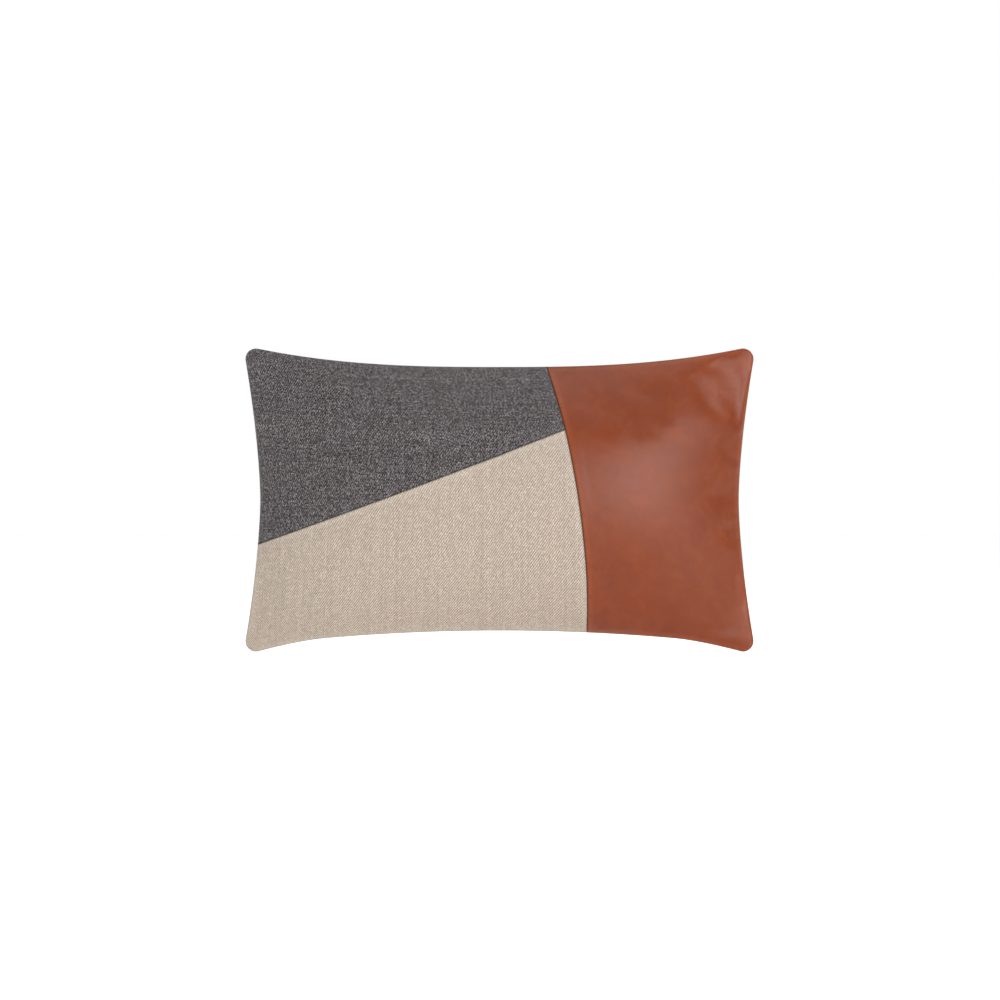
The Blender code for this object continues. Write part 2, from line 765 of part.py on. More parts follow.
def build_insert(lining, fibre, thread):
    for side, name, gap in ((-1, "front", INSERT_GAP_FRONT), (1, "back", INSERT_GAP_BACK)):
        outer = insert_rings(side, gap, 0.0)
        inner = insert_rings(side, gap + LINING, SEAM_MARGIN)
        # Each half's rings run the way the fill's do, so that their facets match.
        rings = inner[::-1] + outer if side < 0 else outer[::-1] + inner
        body(f"insert_{name}", lining, rings, closed_on_spine=True)
    # The fill takes the lining's own rings but the one at its seam, a gap below them.
    front = insert_rings(-1, INSERT_GAP_FRONT + LINING + FILL_GAP, SEAM_MARGIN)[1:]
    back = insert_rings(1, INSERT_GAP_BACK + LINING + FILL_GAP, SEAM_MARGIN)[1:]
    body("fibre_fill", fibre, front[::-1] + back, closed_on_spine=True)

    edge = outline(EDGE_STEPS // 2, SIDE_STEPS // 2, CORNER_STEPS // 2)
    bottom_count = len(long_edge_stations(BOTTOM_REACH, EDGE_STEPS // 2))
    bottom = edge[:bottom_count]
    opening = [
        Vector((x, 0.0, bottom_edge(x)))
        for x in spread(-CLOSING_LENGTH / 2, CLOSING_LENGTH / 2, 4)
    ]
    first = Vector((CLOSING_LENGTH / 2 + SEAM_GAP, 0.0, bottom_edge(CLOSING_LENGTH / 2 + SEAM_GAP)))
    last = Vector((-first.x, 0.0, first.z))
    run = (
        [first]
        + [point for point in bottom if point.x > first.x]
        + edge[bottom_count:]
        + [point for point in bottom if point.x < last.x]
        + [last]
    )
    stitch = diamond(SEAM_MARGIN / 2, 0.0, THREAD_RADIUS)
    edge_band("insert_seam_thread", thread, run, stitch, insert_start)
    edge_band("insert_closing_stitch", thread, opening, stitch, insert_start)


clear_scene()
PLAIN = material("plain", (0.5, 0.5, 0.5), 0.9)
CHARCOAL = material("charcoal_twill", (0.125, 0.115, 0.12), 0.9)
BEIGE = material("beige_twill", (0.57, 0.49, 0.40), 0.9)
LEATHER = material("tan_leather", (0.34, 0.09, 0.035), 0.45)
CANVAS = material("back_canvas", (0.55, 0.48, 0.39), 0.9)
THREAD = material("sewing_thread", (0.45, 0.38, 0.30), 0.7)
TAPE = material("zip_tape", (0.46, 0.40, 0.33), 0.85)
COIL = material("zip_coil", (0.40, 0.34, 0.28), 0.4)
METAL = material("zip_metal", (0.42, 0.38, 0.33), 0.35, 1.0)
LABEL = material("label_satin", (0.85, 0.84, 0.80), 0.5)
LINING_CLOTH = material("insert_lining", (0.82, 0.81, 0.78), 0.9)
FIBRE = material("polyester_fibre", (0.90, 0.90, 0.90), 1.0)

leather_seam_line, beige_seam_line = build_cover(CHARCOAL, BEIGE, LEATHER, CANVAS)
build_seam_threads(THREAD, leather_seam_line, beige_seam_line)
build_zip(TAPE, COIL, METAL, THREAD)
build_bar_tacks(THREAD)
build_slider(METAL)
build_label(LABEL)
build_insert(LINING_CLOTH, FIBRE, THREAD)
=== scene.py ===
import json
import math

import bmesh
import bpy
import numpy as np
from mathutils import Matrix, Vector

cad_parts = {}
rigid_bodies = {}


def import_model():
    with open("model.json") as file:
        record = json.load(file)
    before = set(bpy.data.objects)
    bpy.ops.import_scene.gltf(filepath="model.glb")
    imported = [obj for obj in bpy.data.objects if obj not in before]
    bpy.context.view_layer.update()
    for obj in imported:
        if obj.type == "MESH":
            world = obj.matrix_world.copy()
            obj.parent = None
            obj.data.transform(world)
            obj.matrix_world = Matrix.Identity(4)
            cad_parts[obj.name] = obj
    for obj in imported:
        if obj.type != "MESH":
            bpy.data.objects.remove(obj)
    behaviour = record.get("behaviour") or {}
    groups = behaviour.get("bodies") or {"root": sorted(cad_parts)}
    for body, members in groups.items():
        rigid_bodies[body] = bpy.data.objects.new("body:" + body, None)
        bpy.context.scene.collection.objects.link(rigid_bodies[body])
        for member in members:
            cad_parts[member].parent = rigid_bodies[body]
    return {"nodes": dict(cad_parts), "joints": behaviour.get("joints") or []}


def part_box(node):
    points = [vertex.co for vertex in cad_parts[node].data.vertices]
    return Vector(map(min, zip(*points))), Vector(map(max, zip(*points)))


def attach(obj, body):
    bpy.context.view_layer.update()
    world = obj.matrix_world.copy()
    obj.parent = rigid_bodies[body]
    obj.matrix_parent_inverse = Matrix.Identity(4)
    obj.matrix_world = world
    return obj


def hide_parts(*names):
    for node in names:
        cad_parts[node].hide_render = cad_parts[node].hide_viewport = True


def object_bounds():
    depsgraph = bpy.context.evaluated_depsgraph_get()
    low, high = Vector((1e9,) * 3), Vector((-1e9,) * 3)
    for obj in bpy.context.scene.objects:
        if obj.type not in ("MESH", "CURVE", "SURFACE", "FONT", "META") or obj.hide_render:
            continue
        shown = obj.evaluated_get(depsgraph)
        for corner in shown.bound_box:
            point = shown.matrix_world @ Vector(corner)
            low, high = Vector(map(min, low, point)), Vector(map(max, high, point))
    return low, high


for startObject in list(bpy.data.objects):
    bpy.data.objects.remove(startObject)

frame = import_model()
cadLow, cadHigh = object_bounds()
print("frame loaded:", len(frame["nodes"]), "nodes")

# The pillow's shape: X across, Y through, Z up, all in metres

pillow = {
    "halfWidth": (cadHigh.x - cadLow.x) / 2,
    "height": cadHigh.z - cadLow.z,
    "crownRise": cadHigh.y,
    "crownAngle": 0.92,
    "endPower": 2.6,
    "endFullness": 0.8,
    "topPull": 0.0185,
    "bottomPull": 0.0212,
    "sidePull": 0.0148,
    "topPower": 2.7,
    "sidePower": 1.6,
    "bottomEndPower": 1.35,
    "bottomRise": 0.0063, "bottomReach": 0.2416,
    "topRise": 0.0184, "topReach": 0.2417,
    "sideRise": 0.0147, "sideReach": 0.1395,
    "cornerRadius": 0.0105,
    "spineHalf": 0.1,        # the middle line that turned-in edges point towards
    "seamGap": 0.0003,       # half the gap between the two faces at the outer seam
    "lipHeight": 0.0013,     # the folded edge, rounded over the turned-in allowance
    "lipRadius": 0.0024,
    "lipFade": 0.038,
    "leastRise": 0.0012,
    "clothThickness": 0.0011,
}
slot = {                     # the zip's opening in the lower seam
    "half": 0.1775, "ramp": 0.026, "rise": 0.0127, "fade": 0.060,
    "opening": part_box("zip_tape_back")[1].y,
}
zipJoint = next(j for j in frame["joints"] if j["name"] == "zip_travel")
arcCentre = zipJoint["pos_m"][2]
arcRadius = pillow["bottomPull"] - arcCentre


def smoothStep(t):
    t = np.clip(t, 0.0, 1.0)
    return t * t * (3 - 2 * t)


def bottomEdge(x):
    arc = arcRadius - np.sqrt(arcRadius**2 - x * x)
    past = np.clip(np.abs(x) - slot["half"], 0, None) / (pillow["bottomReach"] - slot["half"])
    z = pillow["bottomPull"] - arc - pillow["bottomRise"] * past ** pillow["bottomEndPower"]
    return np.clip(z, 0.0, None)


def topEdge(x):
    rise = pillow["topRise"] * (np.abs(x) / pillow["topReach"]) ** pillow["topPower"]
    return np.clip(pillow["height"] - pillow["topPull"] + rise, None, pillow["height"])


def sideEdge(z):
    share = np.abs(z - pillow["height"] / 2) / pillow["sideReach"]
    rise = pillow["sideRise"] * share ** pillow["sidePower"]
    return np.clip(pillow["halfWidth"] - pillow["sidePull"] + rise, None, pillow["halfWidth"])


def middleHeight(x):
    return (topEdge(x) + bottomEdge(x)) / 2


def halfHeight(x):
    return (topEdge(x) - bottomEdge(x)) / 2


def shareOf(x, z):
    # where a point lies between the edges, from -1 to 1 across and up
    return x / sideEdge(z), (z - middleHeight(x)) / halfHeight(x)


def placeOf(u, v):
    x, z = u * pillow["halfWidth"], middleHeight(0.0) + v * 0.13
    for _ in range(25):
        x = u * sideEdge(z)
        z = middleHeight(x) + v * halfHeight(x)
    return x, z


def crown(u, v):
    low = math.cos(pillow["crownAngle"])
    arc = np.sqrt(np.clip(1 - (v * math.sin(pillow["crownAngle"])) ** 2, 0, None))
    across = np.clip((arc - low) / (1 - low), 0, None)
    ends = np.clip(1 - np.abs(u) ** pillow["endPower"], 0, None) ** pillow["endFullness"]
    return pillow["crownRise"] * across * ends


def slotOffset(x, z):
    openShare = smoothStep((slot["half"] + slot["ramp"] - np.abs(x)) / slot["ramp"])
    fade = smoothStep((slot["rise"] + slot["fade"] - (z - bottomEdge(x))) / slot["fade"])
    return pillow["seamGap"] + slot["opening"] * openShare * fade


def edgeDistance(u, v, x, z):
    across = (1 - np.abs(u)) * sideEdge(z)
    up = (1 - np.abs(v)) * halfHeight(x)
    return np.clip(np.minimum(across, up), 0, None)


def towardMiddle(x, points):
    # unit directions, in X and Z, from points to the pillow's middle line
    spineX = np.clip(x, -pillow["spineHalf"], pillow["spineHalf"])
    inward = np.stack([spineX - points[..., 0], np.zeros_like(x),
                       middleHeight(spineX) - points[..., 2]], -1)
    return inward / np.linalg.norm(inward, axis=-1, keepdims=True)


def roundOver(distance, radius):
    # 0 at the edge, 1 from the radius on, along a quarter circle
    t = np.clip(distance / radius, 0, 1)
    return np.sqrt(np.clip(1 - (1 - t) ** 2, 0, 1))


def roundCorners(x, z):
    # the corner squares' points are drawn in to quarter discs
    r = pillow["cornerRadius"]
    a = np.clip((np.abs(x) - (pillow["halfWidth"] - r)) / r, 0, 1)
    middle = pillow["height"] / 2
    b = np.clip((np.abs(z - middle) - (middle - r)) / r, 0, 1)
    inCorner = (a > 0) & (b > 0)
    newX = np.sign(x) * (pillow["halfWidth"] - r + r * a * np.sqrt(1 - b * b / 2))
    newZ = middle + np.sign(z - middle) * (middle - r + r * b * np.sqrt(1 - a * a / 2))
    return np.where(inCorner, newX, x), np.where(inCorner, newZ, z)


def gridQuads(rows, columns):
    quads = []
    for i in range(rows - 1):
        for j in range(columns - 1):
            quads.append([i * columns + j, (i + 1) * columns + j,
                          (i + 1) * columns + j + 1, i * columns + j + 1])
    return quads


# Inflating the cover: a closed pillow swells under Cloth pressure, held at its seam

inflation = {
    "cellsAcross": 104, "cellsUp": 62,
    "startShare": 0.965,     # the start is a little flatter than the finished pillow
    "pressure": 4.0,
    "slack": 0.035,          # how much larger the cloth is than the shape it starts from
    "frames": 20,
    "cap": 0.006,            # a point's largest move
    "puckers": 0.36,         # the share of each move that the cloths take
}


def simulateCover():
    cellsU, cellsV = inflation["cellsAcross"], inflation["cellsUp"]
    u, v = np.meshgrid(np.linspace(-1, 1, cellsU + 1), np.linspace(-1, 1, cellsV + 1), indexing="ij")
    x, z = placeOf(u, v)
    height = crown(u, v) * inflation["startShare"]
    roundX, roundZ = roundCorners(x, z)
    rows, columns = cellsU + 1, cellsV + 1
    front = np.stack([roundX, -height, roundZ], -1).reshape(-1, 3)
    back = np.stack([roundX, height, roundZ], -1).reshape(-1, 3)
    count = len(front)
    onEdge = ((np.abs(u) > 0.9999) | (np.abs(v) > 0.9999)).reshape(-1)
    backIndex = np.where(onEdge, np.arange(count), np.arange(count) + count)
    faces = []
    for quad in gridQuads(rows, columns):
        faces.append(quad)
        faces.append([int(backIndex[k]) for k in reversed(quad)])
    mesh = bpy.data.meshes.new("inflatingCover")
    mesh.from_pydata(np.vstack([front, back]).tolist(), [], faces)
    mesh.update()
    pouch = bpy.data.objects.new("inflatingCover", mesh)
    bpy.context.scene.collection.objects.link(pouch)
    loose = [k + count for k in range(count) if onEdge[k]]
    held = pouch.vertex_groups.new(name="seam")
    held.add([k for k in range(count) if onEdge[k]] + loose, 1.0, "REPLACE")
    cloth = pouch.modifiers.new("inflate", "CLOTH")
    settings = cloth.settings
    settings.vertex_group_mass = "seam"
    settings.quality = 6
    settings.mass = 0.25
    settings.tension_stiffness = 22
    settings.compression_stiffness = 12
    settings.shear_stiffness = 8
    settings.bending_stiffness = 1.2
    settings.tension_damping = 12
    settings.compression_damping = 12
    settings.air_damping = 4
    settings.use_pressure = True
    settings.uniform_pressure_force = inflation["pressure"]
    settings.shrink_min = -inflation["slack"]
    settings.effector_weights.gravity = 0
    cloth.collision_settings.use_collision = False
    cloth.point_cache.frame_start = 1
    cloth.point_cache.frame_end = inflation["frames"]
    for step in range(1, inflation["frames"] + 1):
        bpy.context.scene.frame_set(step)
    graph = bpy.context.evaluated_depsgraph_get()
    swollen = pouch.evaluated_get(graph).to_mesh()
    points = np.zeros(len(swollen.vertices) * 3, np.float32)
    swollen.vertices.foreach_get("co", points)
    points = points.reshape(-1, 3).astype(float)
    bpy.data.objects.remove(pouch)
    bpy.context.scene.frame_set(1)
    moved = np.stack([points[:count] - front, points[backIndex] - back])
    far = np.linalg.norm(moved, axis=-1, keepdims=True)
    moved *= np.minimum(1, inflation["cap"] / np.maximum(far, 1e-9)) * inflation["puckers"]
    moved[~np.isfinite(moved)] = 0
    print("cover inflated, mean move mm:", round(float(far.mean()) * 1000, 2),
          "largest:", round(float(far.max()) * 1000, 2))
    return moved.reshape(2, rows, columns, 3)


def sampledShift(shift, u, v):
    # the inflation's move at any share across and up, smoothly between its points
    cellsU, cellsV = shift.shape[0] - 1, shift.shape[1] - 1
    placeU = np.clip((u + 1) / 2 * cellsU, 0, cellsU)
    placeV = np.clip((v + 1) / 2 * cellsV, 0, cellsV)
    baseU = np.clip(np.floor(placeU).astype(int), 0, cellsU - 1)
    baseV = np.clip(np.floor(placeV).astype(int), 0, cellsV - 1)
    tu, tv = (placeU - baseU)[..., None], (placeV - baseV)[..., None]

    def weights(t):
        return (
            (-t + 2 * t**2 - t**3) / 2,
            (2 - 5 * t**2 + 3 * t**3) / 2,
            (t + 4 * t**2 - 3 * t**3) / 2,
            (-(t**2) + t**3) / 2,
        )

    total = 0
    for i, weightU in enumerate(weights(tu)):
        row = np.clip(baseU + i - 1, 0, cellsU)
        for j, weightV in enumerate(weights(tv)):
            column = np.clip(baseV + j - 1, 0, cellsV)
            total = total + weightU * weightV * shift[row, column]
    return total


coverShift = simulateCover()

# Arc lengths, so that the weave runs at the same size all over the curved cloth


def lengthTable(points):
    steps = np.linalg.norm(np.diff(points, axis=0), axis=1)
    return np.concatenate([[0], np.cumsum(steps)])


tableShares = np.linspace(-1, 1, 401)
acrossX, acrossZ = placeOf(tableShares, np.zeros(401))
acrossLengths = lengthTable(np.stack([acrossX, crown(tableShares, np.zeros(401))], 1))
acrossLengths -= acrossLengths[-1] / 2
upX, upZ = placeOf(np.zeros(401), tableShares)
upLengths = lengthTable(np.stack([upZ, crown(np.zeros(401), tableShares)], 1))
upLengths -= upLengths[-1] / 2
print("flat cloth:", round(acrossLengths[-1] * 2, 3), "by", round(upLengths[-1] * 2, 3), "m")


def clothPlace(u, v):
    return np.interp(u, tableShares, acrossLengths), np.interp(v, tableShares, upLengths)


# Patchwork seams on the front

seams = {
    "leatherTop": (0.0470, 0.2845), "leatherBottom": (0.0870, 0.0215), "leatherBow": 0.0094,
    "beigeLeft": (-0.2410, 0.1071), "beigeRight": (0.0650, 0.2206), "beigeBow": -0.0023,
    "gap": 0.0004,           # between two patches, at the bottom of their ditch
    "ditch": 0.0014,
    "ditchRadius": 0.0018,
    "padHeight": 0.0004,     # the pressed-back allowance lifts the cloth beside a seam
    "padWidth": 0.0115,
    "settleRounds": 40,      # how often the places where seams end are worked out again
}


def leatherSeamX(z):
    (x0, z0), (x1, z1) = seams["leatherTop"], seams["leatherBottom"]
    t = (z - z0) / (z1 - z0)
    return x0 + (x1 - x0) * t + seams["leatherBow"] * 4 * t * (1 - t)


def beigeSeamZ(x):
    (x0, z0), (x1, z1) = seams["beigeLeft"], seams["beigeRight"]
    t = (x - x0) / (x1 - x0)
    return z0 + (z1 - z0) * t + seams["beigeBow"] * 4 * t * (1 - t)


def meetingPoint():
    x, z = 0.065, 0.22
    for _ in range(seams["settleRounds"]):
        x = leatherSeamX(z)
        z = beigeSeamZ(x)
    return x, z


def leatherSeamEnd(edge):
    z = edge(0.06)
    for _ in range(seams["settleRounds"]):
        z = edge(leatherSeamX(z))
    return z


def leftSeamEnd():
    x = -0.24
    for _ in range(seams["settleRounds"]):
        x = -sideEdge(beigeSeamZ(x))
    return beigeSeamZ(x)


junctionX, junctionZ = meetingPoint()
seamTopZ, seamBottomZ = leatherSeamEnd(topEdge), leatherSeamEnd(bottomEdge)
leftSeamZ = leftSeamEnd()


def seamLines():
    # each patchwork seam as dense points in X and Z
    z = np.linspace(seamBottomZ, seamTopZ, 60)
    x = np.linspace(-sideEdge(leftSeamZ), junctionX, 60)
    return {
        "leather": np.stack([leatherSeamX(z), z], 1),
        "beige": np.stack([x, beigeSeamZ(x)], 1),
    }


lines = seamLines()


def distanceTo(line, x, z):
    flatX, flatZ = x.reshape(-1), z.reshape(-1)
    best = np.full(flatX.shape, 1e9)
    for (sx, sz), (rx, rz) in zip(line[:-1], np.diff(line, axis=0)):
        t = np.clip(((flatX - sx) * rx + (flatZ - sz) * rz) / (rx * rx + rz * rz), 0, 1)
        best = np.minimum(best, np.hypot(flatX - sx - t * rx, flatZ - sz - t * rz))
    return best.reshape(x.shape)


def surfacePoint(x, z, side, ditches=()):
    # a point of the cover's outer surface: side -1 is the front and 1 the back
    u, v = shareOf(x, z)
    u, v = np.clip(u, -1, 1), np.clip(v, -1, 1)
    fromEdge = edgeDistance(u, v, x, z)
    lip = pillow["lipHeight"] * roundOver(fromEdge, pillow["lipRadius"])
    lip *= 1 - 0.75 * smoothStep(fromEdge / pillow["lipFade"])
    height = crown(u, v) + lip
    for line in ditches:
        away = distanceTo(line, x, z)
        height = height - seams["ditch"] * (1 - roundOver(away, seams["ditchRadius"]))
        pad = smoothStep((seams["padWidth"] - away) / 0.004)
        height = height + seams["padHeight"] * pad * smoothStep(fromEdge / 0.02)
    roundX, roundZ = roundCorners(x, z)
    move = sampledShift(coverShift[0 if side < 0 else 1], u, v)
    # the two cloths never sink past their own turned-in edges
    least = pillow["lipHeight"] * roundOver(fromEdge, pillow["lipRadius"])
    least = least + pillow["leastRise"] * smoothStep(fromEdge / 0.008)
    over = height + side * move[..., 1] - least
    height = least + (over + np.sqrt(over**2 + (0.6 * pillow["leastRise"]) ** 2 * (fromEdge > 0))) / 2
    y = side * (slotOffset(x, z) + height)
    return np.stack([roundX + move[..., 0], y, roundZ + move[..., 2]], -1)


# Patches: grids between four borders, finer near the borders, with their edges turned in

turnIn = {
    "seamDepths": (0.0013, 0.0027),
    "edgeInsets": (0.0030, 0.0100),
    "fineSteps": (0.0, 0.0003, 0.0007, 0.0012, 0.0018, 0.0026, 0.0038, 0.0055, 0.0080, 0.0115),
    "cell": 0.0038,
}


def stations(length):
    # shares along a border: close together near both ends
    fine = np.array(turnIn["fineSteps"])
    middle = length - 2 * fine[-1]
    count = max(2, int(round(middle / turnIn["cell"])))
    inner = np.linspace(fine[-1], length - fine[-1], count + 1)[1:-1]
    return np.concatenate([fine, inner, (length - fine)[::-1]]) / length


def coonsGrid(bottom, top, left, right, acrossShares, upShares):
    # borders are functions of a share, each giving (x, z) arrays
    s, t = np.meshgrid(acrossShares, upShares, indexing="ij")
    s, t = s[..., None], t[..., None]
    low, high = np.stack(bottom(s[..., 0]), -1), np.stack(top(s[..., 0]), -1)
    start, end = np.stack(left(t[..., 0]), -1), np.stack(right(t[..., 0]), -1)
    zero, one = np.zeros(1), np.ones(1)
    corner = [np.stack(border(share), -1)[0] for border, share in
              ((bottom, zero), (bottom, one), (top, zero), (top, one))]
    blend = ((1 - s) * (1 - t) * corner[0] + s * (1 - t) * corner[1]
             + (1 - s) * t * corner[2] + s * t * corner[3])
    grid = (1 - t) * low + t * high + (1 - s) * start + s * end - blend
    return grid[..., 0], grid[..., 1]


def makeMesh(name, points, faces, material, uv=None, attributes=None):
    mesh = bpy.data.meshes.new(name)
    mesh.from_pydata(points.tolist(), [], faces)
    mesh.materials.append(material)
    if uv is not None:
        layer = mesh.uv_layers.new(name="cloth")
        corner = np.zeros(len(mesh.loops), np.int32)
        mesh.loops.foreach_get("vertex_index", corner)
        layer.uv.foreach_set("vector", uv[corner].astype(np.float32).ravel())
    for key, values in (attributes or {}).items():
        attribute = mesh.attributes.new(key, "FLOAT", "POINT")
        attribute.data.foreach_set("value", values.astype(np.float32))
    mesh.shade_smooth()
    mesh.update()
    piece = bpy.data.objects.new(name, mesh)
    bpy.context.scene.collection.objects.link(piece)
    return piece


def applied(piece):
    # the piece's modifiers made into its mesh
    graph = bpy.context.evaluated_depsgraph_get()
    mesh = bpy.data.meshes.new_from_object(piece.evaluated_get(graph))
    old = piece.data
    piece.modifiers.clear()
    piece.data = mesh
    bpy.data.meshes.remove(old)
    piece.data.name = piece.name
    return piece


def span(border):
    (x0, z0), (x1, z1) = border(np.zeros(1)), border(np.ones(1))
    return float(np.hypot(x1 - x0, z1 - z0)[0])


def makePatch(name, borders, kinds, side, ditches, material):
    # kinds: for left, right, bottom and top, whether the border is a "seam" or an "edge"
    left, right, bottom, top = borders
    lengthAcross, lengthUp = (max(span(bottom), span(top)), max(span(left), span(right)))
    x, z = coonsGrid(bottom, top, left, right, stations(lengthAcross), stations(lengthUp))
    pad = ((2, 2), (2, 2))
    x, z = np.pad(x, pad, "edge"), np.pad(z, pad, "edge")
    points = surfacePoint(x, z, side, ditches)
    rows, columns = x.shape
    step = np.zeros((4, rows, columns), int)        # how far past each border a point lies
    for k, i in ((2, 0), (1, 1)):
        step[0, i, :] = k
        step[1, rows - 1 - i, :] = k
        step[2, :, i] = k
        step[3, :, columns - 1 - i] = k
    turned = (step > 0).sum(0)
    inward = towardMiddle(x, points)
    u, v = shareOf(x, z)
    for k, kind in enumerate(kinds):
        for depth in (1, 2):
            where = step[k] == depth
            if kind == "seam":
                points[where, 1] -= side * turnIn["seamDepths"][depth - 1]
            else:
                points[where] += inward[where] * turnIn["edgeInsets"][depth - 1]
    onePast = turned.reshape(-1) <= 1
    faces = [quad if side < 0 else quad[::-1] for quad in gridQuads(rows, columns)
             if onePast[quad].all()]
    flatU, flatV = clothPlace(np.clip(u, -1, 1), np.clip(v, -1, 1))
    fromSeam = np.full(x.shape, 1.0)
    for line in ditches:
        fromSeam = np.minimum(fromSeam, distanceTo(line, x, z))
    fromEdge = edgeDistance(u, v, x, z)
    fromSeam, fromEdge = np.where(turned > 0, 0, fromSeam), np.where(turned > 0, 0, fromEdge)
    piece = makeMesh(
        name, points.reshape(-1, 3), faces, material,
        np.stack([flatU, flatV], -1).reshape(-1, 2),
        {"fromSeam": fromSeam.reshape(-1), "fromEdge": fromEdge.reshape(-1)},
    )
    cleanLoose(piece.data)
    shell = piece.modifiers.new("thickness", "SOLIDIFY")
    shell.thickness = pillow["clothThickness"]
    shell.offset = -1
    return applied(piece)


def cleanLoose(mesh):
    bm = bmesh.new()
    bm.from_mesh(mesh)
    bmesh.ops.delete(bm, geom=[p for p in bm.verts if not p.link_faces], context="VERTS")
    bm.to_mesh(mesh)
    bm.free()


def borderAcross(edge, fromX, toX, shift=0.0):
    # a border that runs left to right, along an edge or a seam that gives Z from X
    def place(share):
        x = fromX + (toX - fromX) * share
        return x, edge(x) + shift
    return place


def borderUp(edge, fromZ, toZ, shift=0.0, sign=1):
    # a border that runs upwards, along an edge or a seam that gives X from Z
    def place(share):
        z = fromZ + (toZ - fromZ) * share
        return sign * edge(z) + shift, z
    return place


# Shader nodes


def addNode(tree, kind, **settings):
    node = tree.nodes.new(kind)
    for key, value in settings.items():
        setattr(node, key, value)
    return node


def feed(tree, socket, value):
    if isinstance(value, bpy.types.NodeSocket):
        tree.links.new(value, socket)
    else:
        socket.default_value = value


def calc(tree, operation, *values, clamp=False):
    node = addNode(tree, "ShaderNodeMath", operation=operation, use_clamp=clamp)
    for socket, value in zip(node.inputs, values):
        feed(tree, socket, value)
    return node.outputs[0]


def vectorOf(tree, x, y, z=0.0):
    node = addNode(tree, "ShaderNodeCombineXYZ")
    for socket, value in zip(node.inputs, (x, y, z)):
        feed(tree, socket, value)
    return node.outputs[0]


def remap(tree, value, fromLow, fromHigh, toLow, toHigh, smooth=False):
    node = addNode(tree, "ShaderNodeMapRange")
    node.interpolation_type = "SMOOTHSTEP" if smooth else "LINEAR"
    for socket, number in zip(node.inputs, (value, fromLow, fromHigh, toLow, toHigh)):
        feed(tree, socket, number)
    return node.outputs[0]


def mixColour(tree, factor, first, second, blend="MIX"):
    node = addNode(tree, "ShaderNodeMix", data_type="RGBA", blend_type=blend)
    feed(tree, node.inputs[0], factor)
    for socket, value in ((node.inputs[6], first), (node.inputs[7], second)):
        feed(tree, socket, value if isinstance(value, bpy.types.NodeSocket) else (*value, 1.0))
    return node.outputs[2]


def noise(tree, vector, scale, detail=2.0, roughness=0.5, distortion=0.0):
    node = addNode(tree, "ShaderNodeTexNoise")
    feed(tree, node.inputs["Vector"], vector)
    node.inputs["Scale"].default_value = scale
    node.inputs["Detail"].default_value = detail
    node.inputs["Roughness"].default_value = roughness
    node.inputs["Distortion"].default_value = distortion
    return node.outputs["Fac"]


def whiteNoise(tree, x, y=0.0):
    node = addNode(tree, "ShaderNodeTexWhiteNoise", noise_dimensions="2D")
    feed(tree, node.inputs["Vector"], vectorOf(tree, x, y))
    return node.outputs["Value"]


def partsOf(tree, vector):
    split = addNode(tree, "ShaderNodeSeparateXYZ")
    feed(tree, split.inputs[0], vector)
    return split.outputs


def newGroup(name, inputs, outputs):
    tree = bpy.data.node_groups.new(name, "ShaderNodeTree")
    for label, kind, value in inputs:
        socket = tree.interface.new_socket(label, in_out="INPUT", socket_type=kind)
        if value is not None:
            socket.default_value = value
    for label, kind in outputs:
        tree.interface.new_socket(label, in_out="OUTPUT", socket_type=kind)
    return tree, addNode(tree, "NodeGroupInput"), addNode(tree, "NodeGroupOutput")


def useGroup(tree, group, **values):
    node = addNode(tree, "ShaderNodeGroup", node_tree=group)
    for key, value in values.items():
        feed(tree, node.inputs[key], value)
    return node


